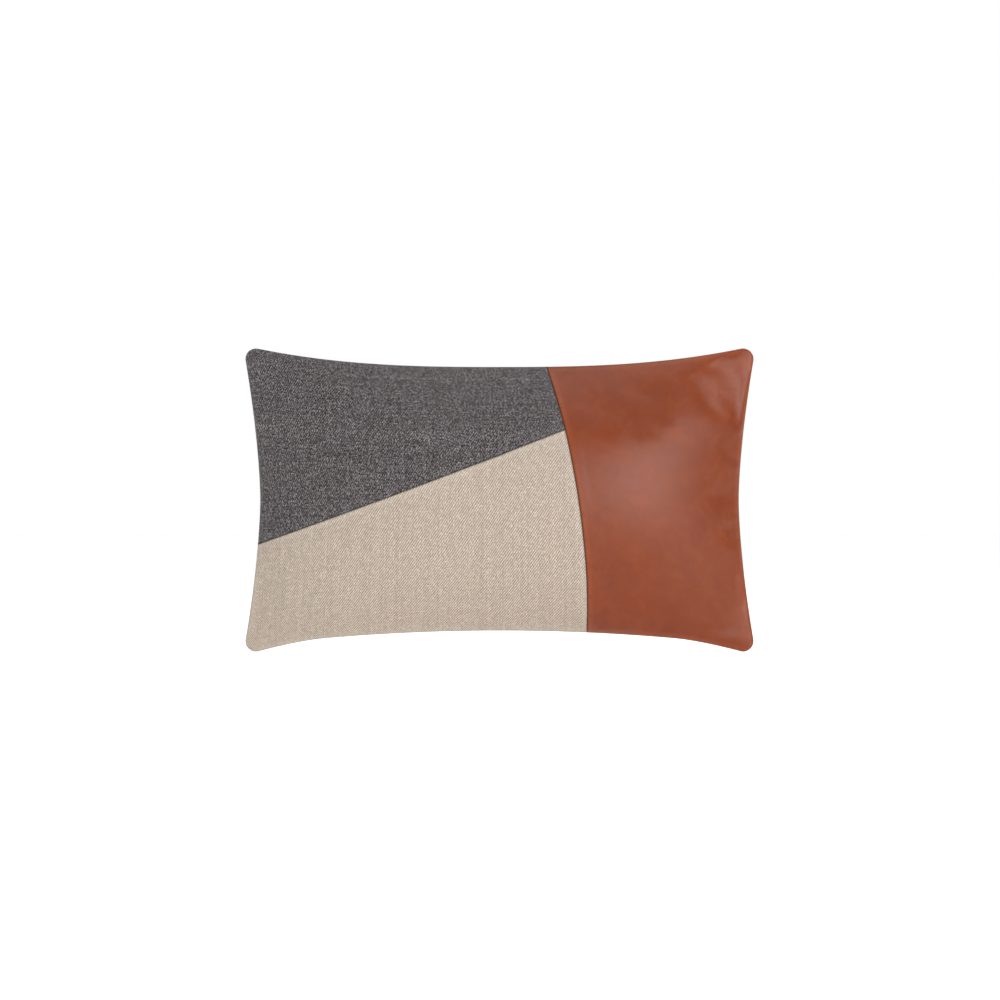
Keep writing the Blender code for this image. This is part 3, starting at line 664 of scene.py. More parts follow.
def makeTwillGroup():
    tree, given, made = newGroup(
        "twillWeave",
        (("Cloth", "NodeSocketVector", None), ("WarpPitch", "NodeSocketFloat", 0.00078),
         ("WeftPitch", "NodeSocketFloat", 0.00124), ("Repeat", "NodeSocketFloat", 3.0),
         ("WarpBias", "NodeSocketFloat", 0.12), ("Wander", "NodeSocketFloat", 0.5)),
        (("Height", "NodeSocketFloat"), ("Warp", "NodeSocketFloat"),
         ("Tone", "NodeSocketFloat"), ("Crossing", "NodeSocketFloat")),
    )
    cloth = given.outputs["Cloth"]
    parts = partsOf(tree, cloth)
    wander = calc(tree, "MULTIPLY", calc(tree, "SUBTRACT", noise(tree, cloth, 22, 2), 0.5),
                  given.outputs["Wander"])
    wanderUp = calc(tree, "MULTIPLY", calc(tree, "SUBTRACT", noise(tree, cloth, 31, 2), 0.5),
                    given.outputs["Wander"])
    x = calc(tree, "ADD", calc(tree, "DIVIDE", parts[0], given.outputs["WarpPitch"]),
             wander)
    y = calc(tree, "ADD", calc(tree, "DIVIDE", parts[1], given.outputs["WeftPitch"]),
             wanderUp)
    i, j = calc(tree, "FLOOR", x), calc(tree, "FLOOR", y)
    turn = calc(tree, "DIVIDE", 2 * math.pi, given.outputs["Repeat"])

    def ridge(place, cell):
        off = calc(tree, "MULTIPLY", calc(tree, "SUBTRACT", calc(tree, "SUBTRACT", place, cell),
                                          0.5), 1.92)
        inside = calc(tree, "MAXIMUM", calc(tree, "SUBTRACT", 1.0,
                                            calc(tree, "MULTIPLY", off, off)), 0.0)
        return calc(tree, "SQRT", inside)

    warpWave = calc(tree, "COSINE", calc(tree, "MULTIPLY", calc(tree, "SUBTRACT", y, i), turn))
    weftPlace = calc(tree, "SUBTRACT", calc(tree, "ADD", j, 1.0), x)
    weftWave = calc(tree, "COSINE", calc(tree, "MULTIPLY", weftPlace, turn))
    warp = calc(tree, "ADD", calc(tree, "MULTIPLY_ADD", ridge(x, i), 0.55, given.outputs["WarpBias"]),
                calc(tree, "MULTIPLY", warpWave, 0.45))
    weft = calc(tree, "SUBTRACT", calc(tree, "MULTIPLY", ridge(y, j), 0.55),
                calc(tree, "MULTIPLY", weftWave, 0.45))
    feed(tree, made.inputs["Height"], calc(tree, "MAXIMUM", warp, weft))
    over = calc(tree, "MULTIPLY_ADD", calc(tree, "SUBTRACT", warp, weft), 5.0, 0.5, clamp=True)
    feed(tree, made.inputs["Warp"], over)
    warpSlub = noise(tree, vectorOf(tree, calc(tree, "MULTIPLY", i, 3.71),
                                    calc(tree, "MULTIPLY", y, 0.16)), 1.0, 1)
    weftSlub = noise(tree, vectorOf(tree, calc(tree, "MULTIPLY", x, 0.13),
                                    calc(tree, "MULTIPLY", j, 3.37), 7.0), 1.0, 1)
    warpTone = calc(tree, "MULTIPLY_ADD", whiteNoise(tree, i, 3.5), 0.4,
                    calc(tree, "MULTIPLY", warpSlub, 0.6))
    weftTone = calc(tree, "MULTIPLY_ADD", whiteNoise(tree, 9.5, j), 0.4,
                    calc(tree, "MULTIPLY", weftSlub, 0.6))
    tone = calc(tree, "ADD", calc(tree, "MULTIPLY", warpTone, over),
                calc(tree, "MULTIPLY", weftTone, calc(tree, "SUBTRACT", 1.0, over)))
    feed(tree, made.inputs["Tone"], tone)
    feed(tree, made.inputs["Crossing"], whiteNoise(tree, i, j))
    return tree


def makeClothCloudsGroup():
    # slow changes over a cloth: soft cloudy patches and fine lint
    tree, given, made = newGroup(
        "clothClouds",
        (("Cloth", "NodeSocketVector", None),),
        (("Clouds", "NodeSocketFloat"), ("Streaks", "NodeSocketFloat"),
         ("Melange", "NodeSocketFloat"), ("Lint", "NodeSocketFloat")),
    )
    cloth = given.outputs["Cloth"]
    parts = partsOf(tree, cloth)
    feed(tree, made.inputs["Clouds"], noise(tree, cloth, 26, 4, 0.6))
    streak = vectorOf(tree, calc(tree, "MULTIPLY", parts[0], 260),
                      calc(tree, "MULTIPLY", parts[1], 34))
    feed(tree, made.inputs["Streaks"], noise(tree, streak, 1.0, 3, 0.6))
    feed(tree, made.inputs["Melange"], noise(tree, cloth, 620, 1, 0.5))
    lint = remap(tree, noise(tree, cloth, 900, 2, 0.7), 0.66, 0.78, 0, 1)
    feed(tree, made.inputs["Lint"], lint)
    return tree


def makeSeamShadeGroup():
    # how deep a point lies in a seam's ditch or in the turned-in edge, for painted shade there, and
    # how near its lip, for a lighter band that is partly rubbed wear and partly painted highlight
    tree, given, made = newGroup(
        "seamShade",
        (("Reach", "NodeSocketFloat", 0.002),),
        (("DitchShade", "NodeSocketFloat"), ("LipWearAndHighlight", "NodeSocketFloat")),
    )
    seam = addNode(tree, "ShaderNodeAttribute", attribute_name="fromSeam").outputs["Fac"]
    edge = addNode(tree, "ShaderNodeAttribute", attribute_name="fromEdge").outputs["Fac"]
    # painted shade: darkest at the bottom of a seam's ditch and right at the turned-in edge
    inSeam = remap(tree, seam, 0.0, given.outputs["Reach"], 1.0, 0.0, smooth=True)
    inEdge = remap(tree, edge, 0.0, 0.0004, 0.6, 0.0, smooth=True)
    feed(tree, made.inputs["DitchShade"], calc(tree, "MAXIMUM", inSeam, inEdge))
    # a band just beside the seam and the edge, painted lighter: partly rubbed wear, partly painted
    # highlight
    near = calc(tree, "MINIMUM", seam, calc(tree, "ADD", edge, 0.001))
    rise = remap(tree, near, 0.0008, 0.0026, 0.0, 1.0, smooth=True)
    fall = remap(tree, near, 0.0026, 0.0080, 1.0, 0.0, smooth=True)
    feed(tree, made.inputs["LipWearAndHighlight"], calc(tree, "MULTIPLY", rise, fall))
    return tree


def makeLeatherGroup():
    tree, given, made = newGroup(
        "leatherGrain",
        (("Cloth", "NodeSocketVector", None),),
        (("Height", "NodeSocketFloat"), ("Clouds", "NodeSocketFloat"),
         ("Mottle", "NodeSocketFloat"), ("Spots", "NodeSocketFloat"),
         ("Pores", "NodeSocketFloat"), ("Creases", "NodeSocketFloat")),
    )
    cloth = given.outputs["Cloth"]
    warped = addNode(tree, "ShaderNodeVectorMath", operation="MULTIPLY_ADD")
    wobble = addNode(tree, "ShaderNodeTexNoise")
    feed(tree, wobble.inputs["Vector"], cloth)
    wobble.inputs["Scale"].default_value = 35
    feed(tree, warped.inputs[0], wobble.outputs["Color"])
    warped.inputs[1].default_value = (0.012, 0.012, 0.0)
    feed(tree, warped.inputs[2], cloth)
    place = warped.outputs[0]
    feed(tree, made.inputs["Clouds"], noise(tree, place, 11, 5, 0.55, 0.6))
    feed(tree, made.inputs["Mottle"], noise(tree, place, 55, 5, 0.62, 0.3))
    feed(tree, made.inputs["Spots"],
         remap(tree, noise(tree, place, 38, 3, 0.5, 0.8), 0.56, 0.72, 0, 1, smooth=True))

    def cells(scale, feature):
        node = addNode(tree, "ShaderNodeTexVoronoi", feature=feature)
        feed(tree, node.inputs["Vector"], cloth)
        node.inputs["Scale"].default_value = scale
        return node.outputs["Distance"]

    pebble = remap(tree, cells(950, "DISTANCE_TO_EDGE"), 0.0, 0.22, 0.0, 1.0, smooth=True)
    pores = remap(tree, cells(520, "F1"), 0.05, 0.20, 1.0, 0.0)
    folds = calc(tree, "ABSOLUTE", calc(tree, "SUBTRACT", noise(tree, place, 75, 4, 0.55, 0.4), 0.5))
    creases = remap(tree, folds, 0.0, 0.035, 1.0, 0.0, smooth=True)
    where = remap(tree, noise(tree, cloth, 13, 2), 0.48, 0.66, 0.0, 1.0, smooth=True)
    creases = calc(tree, "MULTIPLY", creases, where)
    soft = noise(tree, cloth, 330, 3, 0.6)
    height = calc(tree, "MULTIPLY_ADD", pebble, 0.35, calc(tree, "MULTIPLY", soft, 0.65))
    height = calc(tree, "SUBTRACT", height, calc(tree, "MULTIPLY", pores, 0.30))
    height = calc(tree, "SUBTRACT", height, calc(tree, "MULTIPLY", creases, 0.55))
    feed(tree, made.inputs["Height"], height)
    feed(tree, made.inputs["Pores"], pores)
    feed(tree, made.inputs["Creases"], creases)
    return tree


twillWeave = makeTwillGroup()
clothClouds = makeClothCloudsGroup()
seamShade = makeSeamShadeGroup()
leatherGrain = makeLeatherGroup()
print("shader groups made")


def newMaterial(name):
    material = bpy.data.materials.new(name)
    material.use_nodes = True
    tree = material.node_tree
    tree.nodes.clear()
    shader = addNode(tree, "ShaderNodeBsdfPrincipled")
    out = addNode(tree, "ShaderNodeOutputMaterial")
    tree.links.new(shader.outputs[0], out.inputs[0])
    return material, tree, shader


def addBump(tree, shader, height, distance, strength=1.0):
    bump = addNode(tree, "ShaderNodeBump")
    bump.inputs["Strength"].default_value = strength
    bump.inputs["Distance"].default_value = distance
    feed(tree, bump.inputs["Height"], height)
    feed(tree, shader.inputs["Normal"], bump.outputs["Normal"])


def objectPlace(tree):
    return addNode(tree, "ShaderNodeTexCoord").outputs["Object"]


def clothCoordinates(tree, fromMap):
    if fromMap:
        return addNode(tree, "ShaderNodeUVMap", uv_map="cloth").outputs["UV"]
    return objectPlace(tree)


def scaled(tree, colour, amount):
    # a colour made lighter or darker by a number that changes over the surface
    return mixColour(tree, 1.0, colour, vectorOf(tree, amount, amount, amount), "MULTIPLY")


def varied(tree, colour, value, low, high, spread):
    return scaled(tree, colour, remap(tree, value, low, high, 1 - spread, 1 + spread))


def layered(tree, colour, mask, strength, tint):
    return mixColour(tree, calc(tree, "MULTIPLY", mask, strength), colour, tint)


def wovenMaterial(name, look):
    material, tree, shader = newMaterial(name)
    cloth = clothCoordinates(tree, look["mapped"])
    if look.get("turned"):
        spin = addNode(tree, "ShaderNodeMapping")
        spin.inputs["Rotation"].default_value = look["turned"]
        feed(tree, spin.inputs["Vector"], cloth)
        cloth = spin.outputs[0]
    weave = useGroup(tree, twillWeave, Cloth=cloth, WarpPitch=look["warpPitch"],
                     WeftPitch=look["weftPitch"], Repeat=look["repeat"],
                     WarpBias=look["warpBias"], Wander=look["wander"])
    clouds = useGroup(tree, clothClouds, Cloth=cloth)
    over = weave.outputs["Warp"]
    colour = mixColour(tree, over, look["weft"], look["warp"])
    colour = varied(tree, colour, weave.outputs["Tone"], 0.2, 0.8, look["toneSpread"])
    colour = varied(tree, colour, weave.outputs["Crossing"], 0.0, 1.0, look["crossSpread"])
    colour = varied(tree, colour, clouds.outputs["Melange"], 0.36, 0.64, look["melange"])
    specks = remap(tree, weave.outputs["Crossing"], 1 - look["speckShare"], 1.0, 0.0, 1.0)
    colour = layered(tree, colour, specks, look["speckStrength"], look["speck"])
    # painted shade: where the weave's threads lie low, in the gaps between them, the colour is
    # darkened down to gapShade
    relief = remap(tree, weave.outputs["Height"], look["gapLow"], look["gapHigh"],
                   look["gapShade"], 1.0)
    colour = scaled(tree, colour, relief)
    patchy = remap(tree, clouds.outputs["Clouds"], 0.32, 0.68, 0.0, 1.0)
    colour = mixColour(tree, look["tintStrength"], colour,
                       mixColour(tree, patchy, look["tintLow"], look["tintHigh"]), "SOFT_LIGHT")
    colour = varied(tree, colour, clouds.outputs["Streaks"], 0.3, 0.7, look["streak"])
    if look["mapped"]:
        # painted shade in the seam ditches and at the turned-in edge, then a lighter lip band that is
        # partly rubbed wear and partly painted highlight
        shade = useGroup(tree, seamShade, Reach=0.0012)
        colour = layered(tree, colour, shade.outputs["DitchShade"], look["ditchShadeStrength"], look["ditch"])
        colour = layered(tree, colour, shade.outputs["LipWearAndHighlight"], look["lipWearAndHighlightStrength"], look["lip"])
    feed(tree, shader.inputs["Base Color"], colour)
    feed(tree, shader.inputs["Roughness"],
         remap(tree, weave.outputs["Tone"], 0.2, 0.8, look["rough"] - 0.06, look["rough"] + 0.06))
    shader.inputs["Specular IOR Level"].default_value = 0.3
    shader.inputs["Sheen Weight"].default_value = look["sheen"]
    shader.inputs["Sheen Roughness"].default_value = 0.45
    height = calc(tree, "MULTIPLY_ADD", clouds.outputs["Lint"], 0.25, weave.outputs["Height"])
    addBump(tree, shader, height, look["relief"])
    return material


charcoalLook = {
    "mapped": True, "warpPitch": 0.00078, "weftPitch": 0.00124, "repeat": 3.0,
    "warpBias": 0.02, "wander": 1.1, "warp": (0.051, 0.042, 0.044), "weft": (0.142, 0.127, 0.129),
    "toneSpread": 0.45, "crossSpread": 0.58, "melange": 0.74,
    "speck": (0.36, 0.34, 0.34), "speckShare": 0.24, "speckStrength": 0.5,
    # gapShade is painted shade in the gaps between threads; the ditch colour is painted shade in the
    # seams' ditches; the lip colour is painted lighter, partly rubbed wear and partly painted
    # highlight
    "gapLow": 0.0, "gapHigh": 0.9, "gapShade": 0.38, "tintLow": (0.48, 0.50, 0.52),
    "tintHigh": (0.53, 0.49, 0.49), "tintStrength": 0.4, "streak": 0.14,
    "ditch": (0.014, 0.010, 0.010), "ditchShadeStrength": 0.6, "lip": (0.20, 0.19, 0.19),
    "lipWearAndHighlightStrength": 0.05, "rough": 0.9, "sheen": 0.18, "relief": 0.00030,
}
beigeLook = {
    "mapped": True, "warpPitch": 0.00080, "weftPitch": 0.00126, "repeat": 3.0,
    "warpBias": 0.0, "wander": 0.9, "warp": (0.68, 0.575, 0.480), "weft": (0.36, 0.284, 0.217),
    "toneSpread": 0.13, "crossSpread": 0.15, "melange": 0.07,
    "speck": (0.90, 0.82, 0.72), "speckShare": 0.20, "speckStrength": 0.4,
    # gapShade is painted shade in the gaps between threads; the ditch colour is painted shade in the
    # seams' ditches; the lip colour is painted lighter, partly rubbed wear and partly painted
    # highlight
    "gapLow": 0.0, "gapHigh": 0.9, "gapShade": 0.32, "tintLow": (0.485, 0.505, 0.495),
    "tintHigh": (0.515, 0.495, 0.50), "tintStrength": 0.5, "streak": 0.025,
    "ditch": (0.10, 0.065, 0.042), "ditchShadeStrength": 0.5, "lip": (0.70, 0.64, 0.56),
    "lipWearAndHighlightStrength": 0.15, "rough": 0.9, "sheen": 0.08, "relief": 0.00050,
}
backLook = dict(beigeLook, warpPitch=0.00092, weftPitch=0.00092, repeat=2.0, warpBias=0.0,
                warp=(0.66, 0.565, 0.470), weft=(0.56, 0.475, 0.390), speckStrength=0.25,
                gapShade=0.55)
tapeLook = dict(beigeLook, mapped=False, warpPitch=0.00034, weftPitch=0.00042, repeat=4.0,
                relief=0.00012, turned=(math.pi / 2, 0, 0), warp=(0.36, 0.30, 0.235),
                weft=(0.30, 0.245, 0.19), wander=0.2)
labelLook = dict(beigeLook, mapped=False, warpPitch=0.00022, weftPitch=0.00030, repeat=5.0,
                 relief=0.00006, turned=(math.pi / 2, 0, 0), warp=(0.80, 0.79, 0.76),
                 weft=(0.74, 0.73, 0.70), speckStrength=0.05, wander=0.1, rough=0.5, sheen=0.1)
liningLook = dict(beigeLook, mapped=False, warpPitch=0.00040, weftPitch=0.00040, repeat=2.0,
                  relief=0.00012, turned=(math.pi / 2, 0, 0), warp=(0.78, 0.77, 0.74),
                  weft=(0.72, 0.71, 0.68), speckStrength=0.1, wander=0.3)


leatherLook = {
    "base": (0.206, 0.035, 0.005), "deep": (0.184, 0.032, 0.006), "light": (0.230, 0.045, 0.009),
    # orange is the leather's own spot colour; the colour for pores and creases is painted shade in
    # these hollows, the ditch colour painted shade in the seam's ditch, and the lip colour painted
    # lighter, partly rubbed wear and partly painted highlight
    "orange": (0.275, 0.050, 0.005), "hollowShade": (0.11, 0.03, 0.014), "ditch": (0.040, 0.012, 0.007),
    "lip": (0.34, 0.075, 0.018), "relief": 0.00010,
}


def leatherMaterial(name, look):
    material, tree, shader = newMaterial(name)
    cloth = clothCoordinates(tree, True)
    grain = useGroup(tree, leatherGrain, Cloth=cloth)
    shade = useGroup(tree, seamShade, Reach=0.0012)
    clouds = remap(tree, grain.outputs["Clouds"], 0.34, 0.66, 0.0, 1.0, smooth=True)
    colour = mixColour(tree, clouds, look["deep"], look["base"])
    mottle = remap(tree, grain.outputs["Mottle"], 0.42, 0.70, 0.0, 0.55, smooth=True)
    colour = mixColour(tree, mottle, colour, look["light"])
    # spots are the leather's own colour; pores and creases are painted darker as painted shade in
    # these hollows, the lip band painted lighter as partly rubbed wear and partly painted highlight,
    # and the seam ditch painted shade
    for mask, strength, tint in (
        (grain.outputs["Spots"], 0.28, "orange"), (grain.outputs["Pores"], 0.16, "hollowShade"),
        (grain.outputs["Creases"], 0.12, "hollowShade"), (shade.outputs["LipWearAndHighlight"], 0.3, "lip"),
        (shade.outputs["DitchShade"], 0.85, "ditch"),
    ):
        colour = layered(tree, colour, mask, strength, look[tint])
    feed(tree, shader.inputs["Base Color"], colour)
    rough = remap(tree, grain.outputs["Mottle"], 0.3, 0.7, 0.30, 0.38)
    rough = calc(tree, "SUBTRACT", rough, calc(tree, "MULTIPLY", shade.outputs["LipWearAndHighlight"], 0.06))
    feed(tree, shader.inputs["Roughness"], rough)
    shader.inputs["Specular IOR Level"].default_value = 0.36
    shader.inputs["Coat Roughness"].default_value = 0.36
    feed(tree, shader.inputs["Coat Weight"], remap(tree, grain.outputs["Clouds"], 0.3, 0.7, 0.0, 0.05))
    addBump(tree, shader, grain.outputs["Height"], look["relief"])
    return material


def threadMaterial(name, light, dark, pitch):
    material, tree, shader = newMaterial(name)
    place = objectPlace(tree)
    parts = partsOf(tree, place)
    run = calc(tree, "ADD", calc(tree, "ADD", parts[0], parts[2]),
               calc(tree, "MULTIPLY", parts[1], 1.6))
    ply = calc(tree, "SINE", calc(tree, "MULTIPLY", run, 2 * math.pi / pitch))
    fuzz = noise(tree, place, 2600, 3, 0.7)
    # the ply twist is painted darker in its grooves, painted shade; the fuzz adds random tone
    twist = calc(tree, "MULTIPLY_ADD", ply, 0.35, calc(tree, "MULTIPLY", fuzz, 0.8))
    feed(tree, shader.inputs["Base Color"],
         mixColour(tree, remap(tree, twist, 0.0, 0.75, 0.0, 1.0), dark, light))
    feed(tree, shader.inputs["Roughness"], remap(tree, fuzz, 0.3, 0.7, 0.62, 0.82))
    shader.inputs["Sheen Weight"].default_value = 0.15
    addBump(tree, shader, twist, 0.00008)
    return material


def metalMaterial(name):
    material, tree, shader = newMaterial(name)
    place = objectPlace(tree)
    cast = noise(tree, place, 900, 4, 0.6)
    rub = remap(tree, noise(tree, place, 240, 3, 0.6), 0.5, 0.7, 0.0, 1.0, smooth=True)
    feed(tree, shader.inputs["Base Color"],
         mixColour(tree, rub, (0.30, 0.265, 0.215), (0.56, 0.50, 0.41)))
    shader.inputs["Metallic"].default_value = 1.0
    feed(tree, shader.inputs["Roughness"], remap(tree, cast, 0.3, 0.7, 0.26, 0.42))
    addBump(tree, shader, cast, 0.00003)
    return material


def nylonMaterial(name):
    material, tree, shader = newMaterial(name)
    place = objectPlace(tree)
    drawn = noise(tree, place, 1400, 3, 0.6)
    feed(tree, shader.inputs["Base Color"],
         mixColour(tree, drawn, (0.30, 0.25, 0.19), (0.42, 0.36, 0.28)))
    feed(tree, shader.inputs["Roughness"], remap(tree, drawn, 0.3, 0.7, 0.32, 0.46))
    addBump(tree, shader, drawn, 0.00003)
    return material


def fibreMaterial(name):
    material, tree, shader = newMaterial(name)
    place = objectPlace(tree)
    tufts = noise(tree, place, 60, 6, 0.7, 1.5)
    strands = noise(tree, place, 900, 4, 0.75, 2.0)
    height = calc(tree, "MULTIPLY_ADD", strands, 0.3, tufts)
    # painted shade: the white fibre is painted darker where its tufts sink into hollows
    feed(tree, shader.inputs["Base Color"],
         mixColour(tree, height, (0.70, 0.70, 0.69), (0.92, 0.92, 0.91)))
    feed(tree, shader.inputs["Roughness"], remap(tree, strands, 0.3, 0.7, 0.88, 1.0))
    shader.inputs["Sheen Weight"].default_value = 0.4
    addBump(tree, shader, height, 0.004)
    return material


materials = {
    "charcoal": wovenMaterial("charcoalTwill", charcoalLook),
    "beige": wovenMaterial("beigeTwill", beigeLook),
    "back": wovenMaterial("backCanvas", backLook),
    "leather": leatherMaterial("tanLeather", leatherLook),
    "thread": threadMaterial("sewingThread", (0.16, 0.10, 0.065), (0.06, 0.035, 0.022), 0.0009),
    "whiteThread": threadMaterial("liningThread", (0.84, 0.83, 0.80), (0.62, 0.61, 0.58), 0.0009),
    "tape": wovenMaterial("zipTape", tapeLook),
    "coil": nylonMaterial("zipNylon"),
    "metal": metalMaterial("zipMetal"),
    "label": wovenMaterial("labelSatin", labelLook),
    "lining": wovenMaterial("insertLining", liningLook),
    "fibre": fibreMaterial("polyesterFibre"),
}
print("materials made:", len(materials))


# The cover's four cloths

halfGap = seams["gap"] / 2
hw, fullHeight = pillow["halfWidth"], pillow["height"]
seamX = {"top": leatherSeamX(seamTopZ), "bottom": leatherSeamX(seamBottomZ)}
bothSeams = (lines["leather"], lines["beige"])

leatherPatch = makePatch(
    "leatherPatch",
    (borderUp(leatherSeamX, seamBottomZ, seamTopZ, halfGap),
     borderUp(sideEdge, 0.0, fullHeight),
     borderAcross(bottomEdge, seamX["bottom"] + halfGap, hw),
     borderAcross(topEdge, seamX["top"] + halfGap, hw)),
    ("seam", "edge", "edge", "edge"), -1, (lines["leather"],), materials["leather"],
)
charcoalPatch = makePatch(
    "charcoalPatch",
    (borderUp(sideEdge, leftSeamZ + halfGap, fullHeight, sign=-1),
     borderUp(leatherSeamX, junctionZ + halfGap, seamTopZ, -halfGap),
     borderAcross(beigeSeamZ, -sideEdge(leftSeamZ), junctionX - halfGap, halfGap),
     borderAcross(topEdge, -hw, seamX["top"] - halfGap)),
    ("edge", "seam", "seam", "edge"), -1, bothSeams, materials["charcoal"],
)
beigePatch = makePatch(
    "beigePatch",
    (borderUp(sideEdge, 0.0, leftSeamZ - halfGap, sign=-1),
     borderUp(leatherSeamX, seamBottomZ, junctionZ - halfGap, -halfGap),
     borderAcross(bottomEdge, -hw, seamX["bottom"] - halfGap),
     borderAcross(beigeSeamZ, -sideEdge(leftSeamZ), junctionX - halfGap, -halfGap)),
    ("edge", "seam", "edge", "seam"), -1, bothSeams, materials["beige"],
)
backCloth = makePatch(
    "backCloth",
    (borderUp(sideEdge, 0.0, fullHeight, sign=-1), borderUp(sideEdge, 0.0, fullHeight),
     borderAcross(bottomEdge, -hw, hw), borderAcross(topEdge, -hw, hw)),
    ("edge", "edge", "edge", "edge"), 1, (), materials["back"],
)
print("cloths made")


def flatSize(piece):
    # the flat cloth a patch was cut from, read from its map of the cloth in metres
    layer = piece.data.uv_layers["cloth"].uv
    flat = np.zeros(len(layer) * 2, np.float32)
    layer.foreach_get("vector", flat)
    flat = flat.reshape(-1, 2)
    return flat.max(0) - flat.min(0)


for piece, node, slotName in (
    (leatherPatch, "leather_panel", "tan_leather"),
    (charcoalPatch, "charcoal_panel", "charcoal_twill"),
    (beigePatch, "beige_panel", "beige_twill"),
    (backCloth, "back_panel", "back_canvas"),
):
    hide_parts(node)
    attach(piece, "pillow")


# Stitches: a thread that dips and rises once a stitch

stitch = {"length": 0.0030, "radius": 0.00022, "rise": 0.00030, "perStitch": 6, "sides": 6}


def tube(name, path, radius, material, closed=False):
    count, sides = len(path), stitch["sides"]
    ahead = np.roll(path, -1, 0) - np.roll(path, 1, 0)
    if not closed:
        ahead[0], ahead[-1] = path[1] - path[0], path[-1] - path[-2]
    ahead /= np.linalg.norm(ahead, axis=1, keepdims=True)
    reference = np.where(np.abs(ahead[:, 1:2]) > 0.9, [[0.0, 0.0, 1.0]], [[0.0, 1.0, 0.0]])
    across = np.cross(ahead, reference)
    across /= np.linalg.norm(across, axis=1, keepdims=True)
    up = np.cross(across, ahead)
    angles = np.arange(sides) * 2 * math.pi / sides
    ring = (path[:, None] + radius * (np.cos(angles)[None, :, None] * across[:, None]
                                      + np.sin(angles)[None, :, None] * up[:, None]))
    faces = []
    for k in range(count if closed else count - 1):
        following = (k + 1) % count
        for n in range(sides):
            m = (n + 1) % sides
            faces.append([k * sides + n, k * sides + m, following * sides + m,
                          following * sides + n])
    if not closed:
        faces.append(list(range(sides))[::-1])
        faces.append([(count - 1) * sides + n for n in range(sides)])
    piece = makeMesh(name, ring.reshape(-1, 3), faces, material)
    bm = bmesh.new()
    bm.from_mesh(piece.data)
    bmesh.ops.recalc_face_normals(bm, faces=bm.faces)
    bm.to_mesh(piece.data)
    bm.free()
    return piece


def evenly(path, step):
    along = lengthTable(path)
    count = max(2, int(round(along[-1] / step)))
    at = np.linspace(0, along[-1], count + 1)
    return np.stack([np.interp(at, along, path[:, k]) for k in range(3)], 1), at


def stitched(name, path, outward, material, rise=stitch["rise"]):
    points, at = evenly(path, stitch["length"] / stitch["perStitch"])
    wave = np.cos(at * 2 * math.pi / stitch["length"])[:, None]
    return tube(name, points + np.array(outward) * wave * rise, stitch["radius"], material)


def ditchPath(line, trimStart, trimEnd):
    along = lengthTable(line)
    at = np.linspace(trimStart, along[-1] - trimEnd, 160)
    x, z = np.interp(at, along, line[:, 0]), np.interp(at, along, line[:, 1])
    path = surfacePoint(x, z, -1, bothSeams)
    path[:, 1] += 0.0001
    return path


leatherStitches = stitched("leatherSeamStitches", ditchPath(lines["leather"], 0.006, 0.006),
                           (0, -1, 0), materials["thread"])
beigeStitches = stitched("patchSeamStitches", ditchPath(lines["beige"], 0.006, 0.003),
                         (0, -1, 0), materials["thread"])


def seamRun(inset):
    # round the cover's outer seam, from one end of the zip's opening to the other
    end = slot["half"] + slot["ramp"] + 0.004
    x = np.linspace(end, hw, 20)
    parts = [np.stack([x, bottomEdge(x)], 1)]
    z = np.linspace(0, fullHeight, 80)
    parts.append(np.stack([sideEdge(z), z], 1))
    x = np.linspace(hw, -hw, 120)
    parts.append(np.stack([x, topEdge(x)], 1))
    z = z[::-1]
    parts.append(np.stack([-sideEdge(z), z], 1))
    x = np.linspace(-hw, -end, 20)
    parts.append(np.stack([x, bottomEdge(x)], 1))
    run = np.vstack(parts)
    keep = np.concatenate([[True], np.linalg.norm(np.diff(run, axis=0), axis=1) > 1e-5])
    x, z = roundCorners(run[keep, 0], run[keep, 1])
    path = np.stack([x, np.zeros_like(x), z], 1)
    return path + towardMiddle(x, path) * inset


edgeStitches = stitched("edgeSeamStitches", seamRun(0.0016), (0, 1, 0), materials["thread"],
                        rise=0.00012)
for piece, node in ((leatherStitches, "leather_seam_thread"),
                    (beigeStitches, "patch_seam_thread"),
                    (edgeStitches, "perimeter_seam_thread")):
    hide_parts(node)
    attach(piece, "pillow")
print("stitches made")


# The insert: a lining bag round its fibre, both made from the cover's own shape

insert = {"insetAcross": 0.082, "insetUp": 0.14, "drop": 0.0042, "shoulder": 0.026,
          "fillDrop": 0.0016, "cells": (72, 46)}


def padGrid(side, extraDrop, shrink):
    u, v = np.meshgrid(np.linspace(-1, 1, insert["cells"][0] + 1),
                       np.linspace(-1, 1, insert["cells"][1] + 1), indexing="ij")
    inU, inV = u * (1 - insert["insetAcross"] - shrink), v * (1 - insert["insetUp"] - shrink)
    corner = 1 - 0.06 * (np.abs(u) ** 6) * (np.abs(v) ** 6)
    x, z = placeOf(inU * corner, inV * corner)
    top = surfacePoint(x, z, side)
    fromSeam = edgeDistance(u, v, x, z)
    slope = 1 + 0.9 * np.maximum(np.abs(inU) ** 3, np.abs(inV) ** 2)
    height = np.clip(np.abs(top[..., 1]) - (insert["drop"] + extraDrop) * slope, 0.0004, None)
    pucker = 1 + 0.035 * np.sin(np.arctan2(inV, inU) * 46) * np.exp(-fromSeam / 0.02)
    height = height * roundOver(fromSeam, insert["shoulder"]) * pucker
    return np.stack([x, side * height, z], -1)


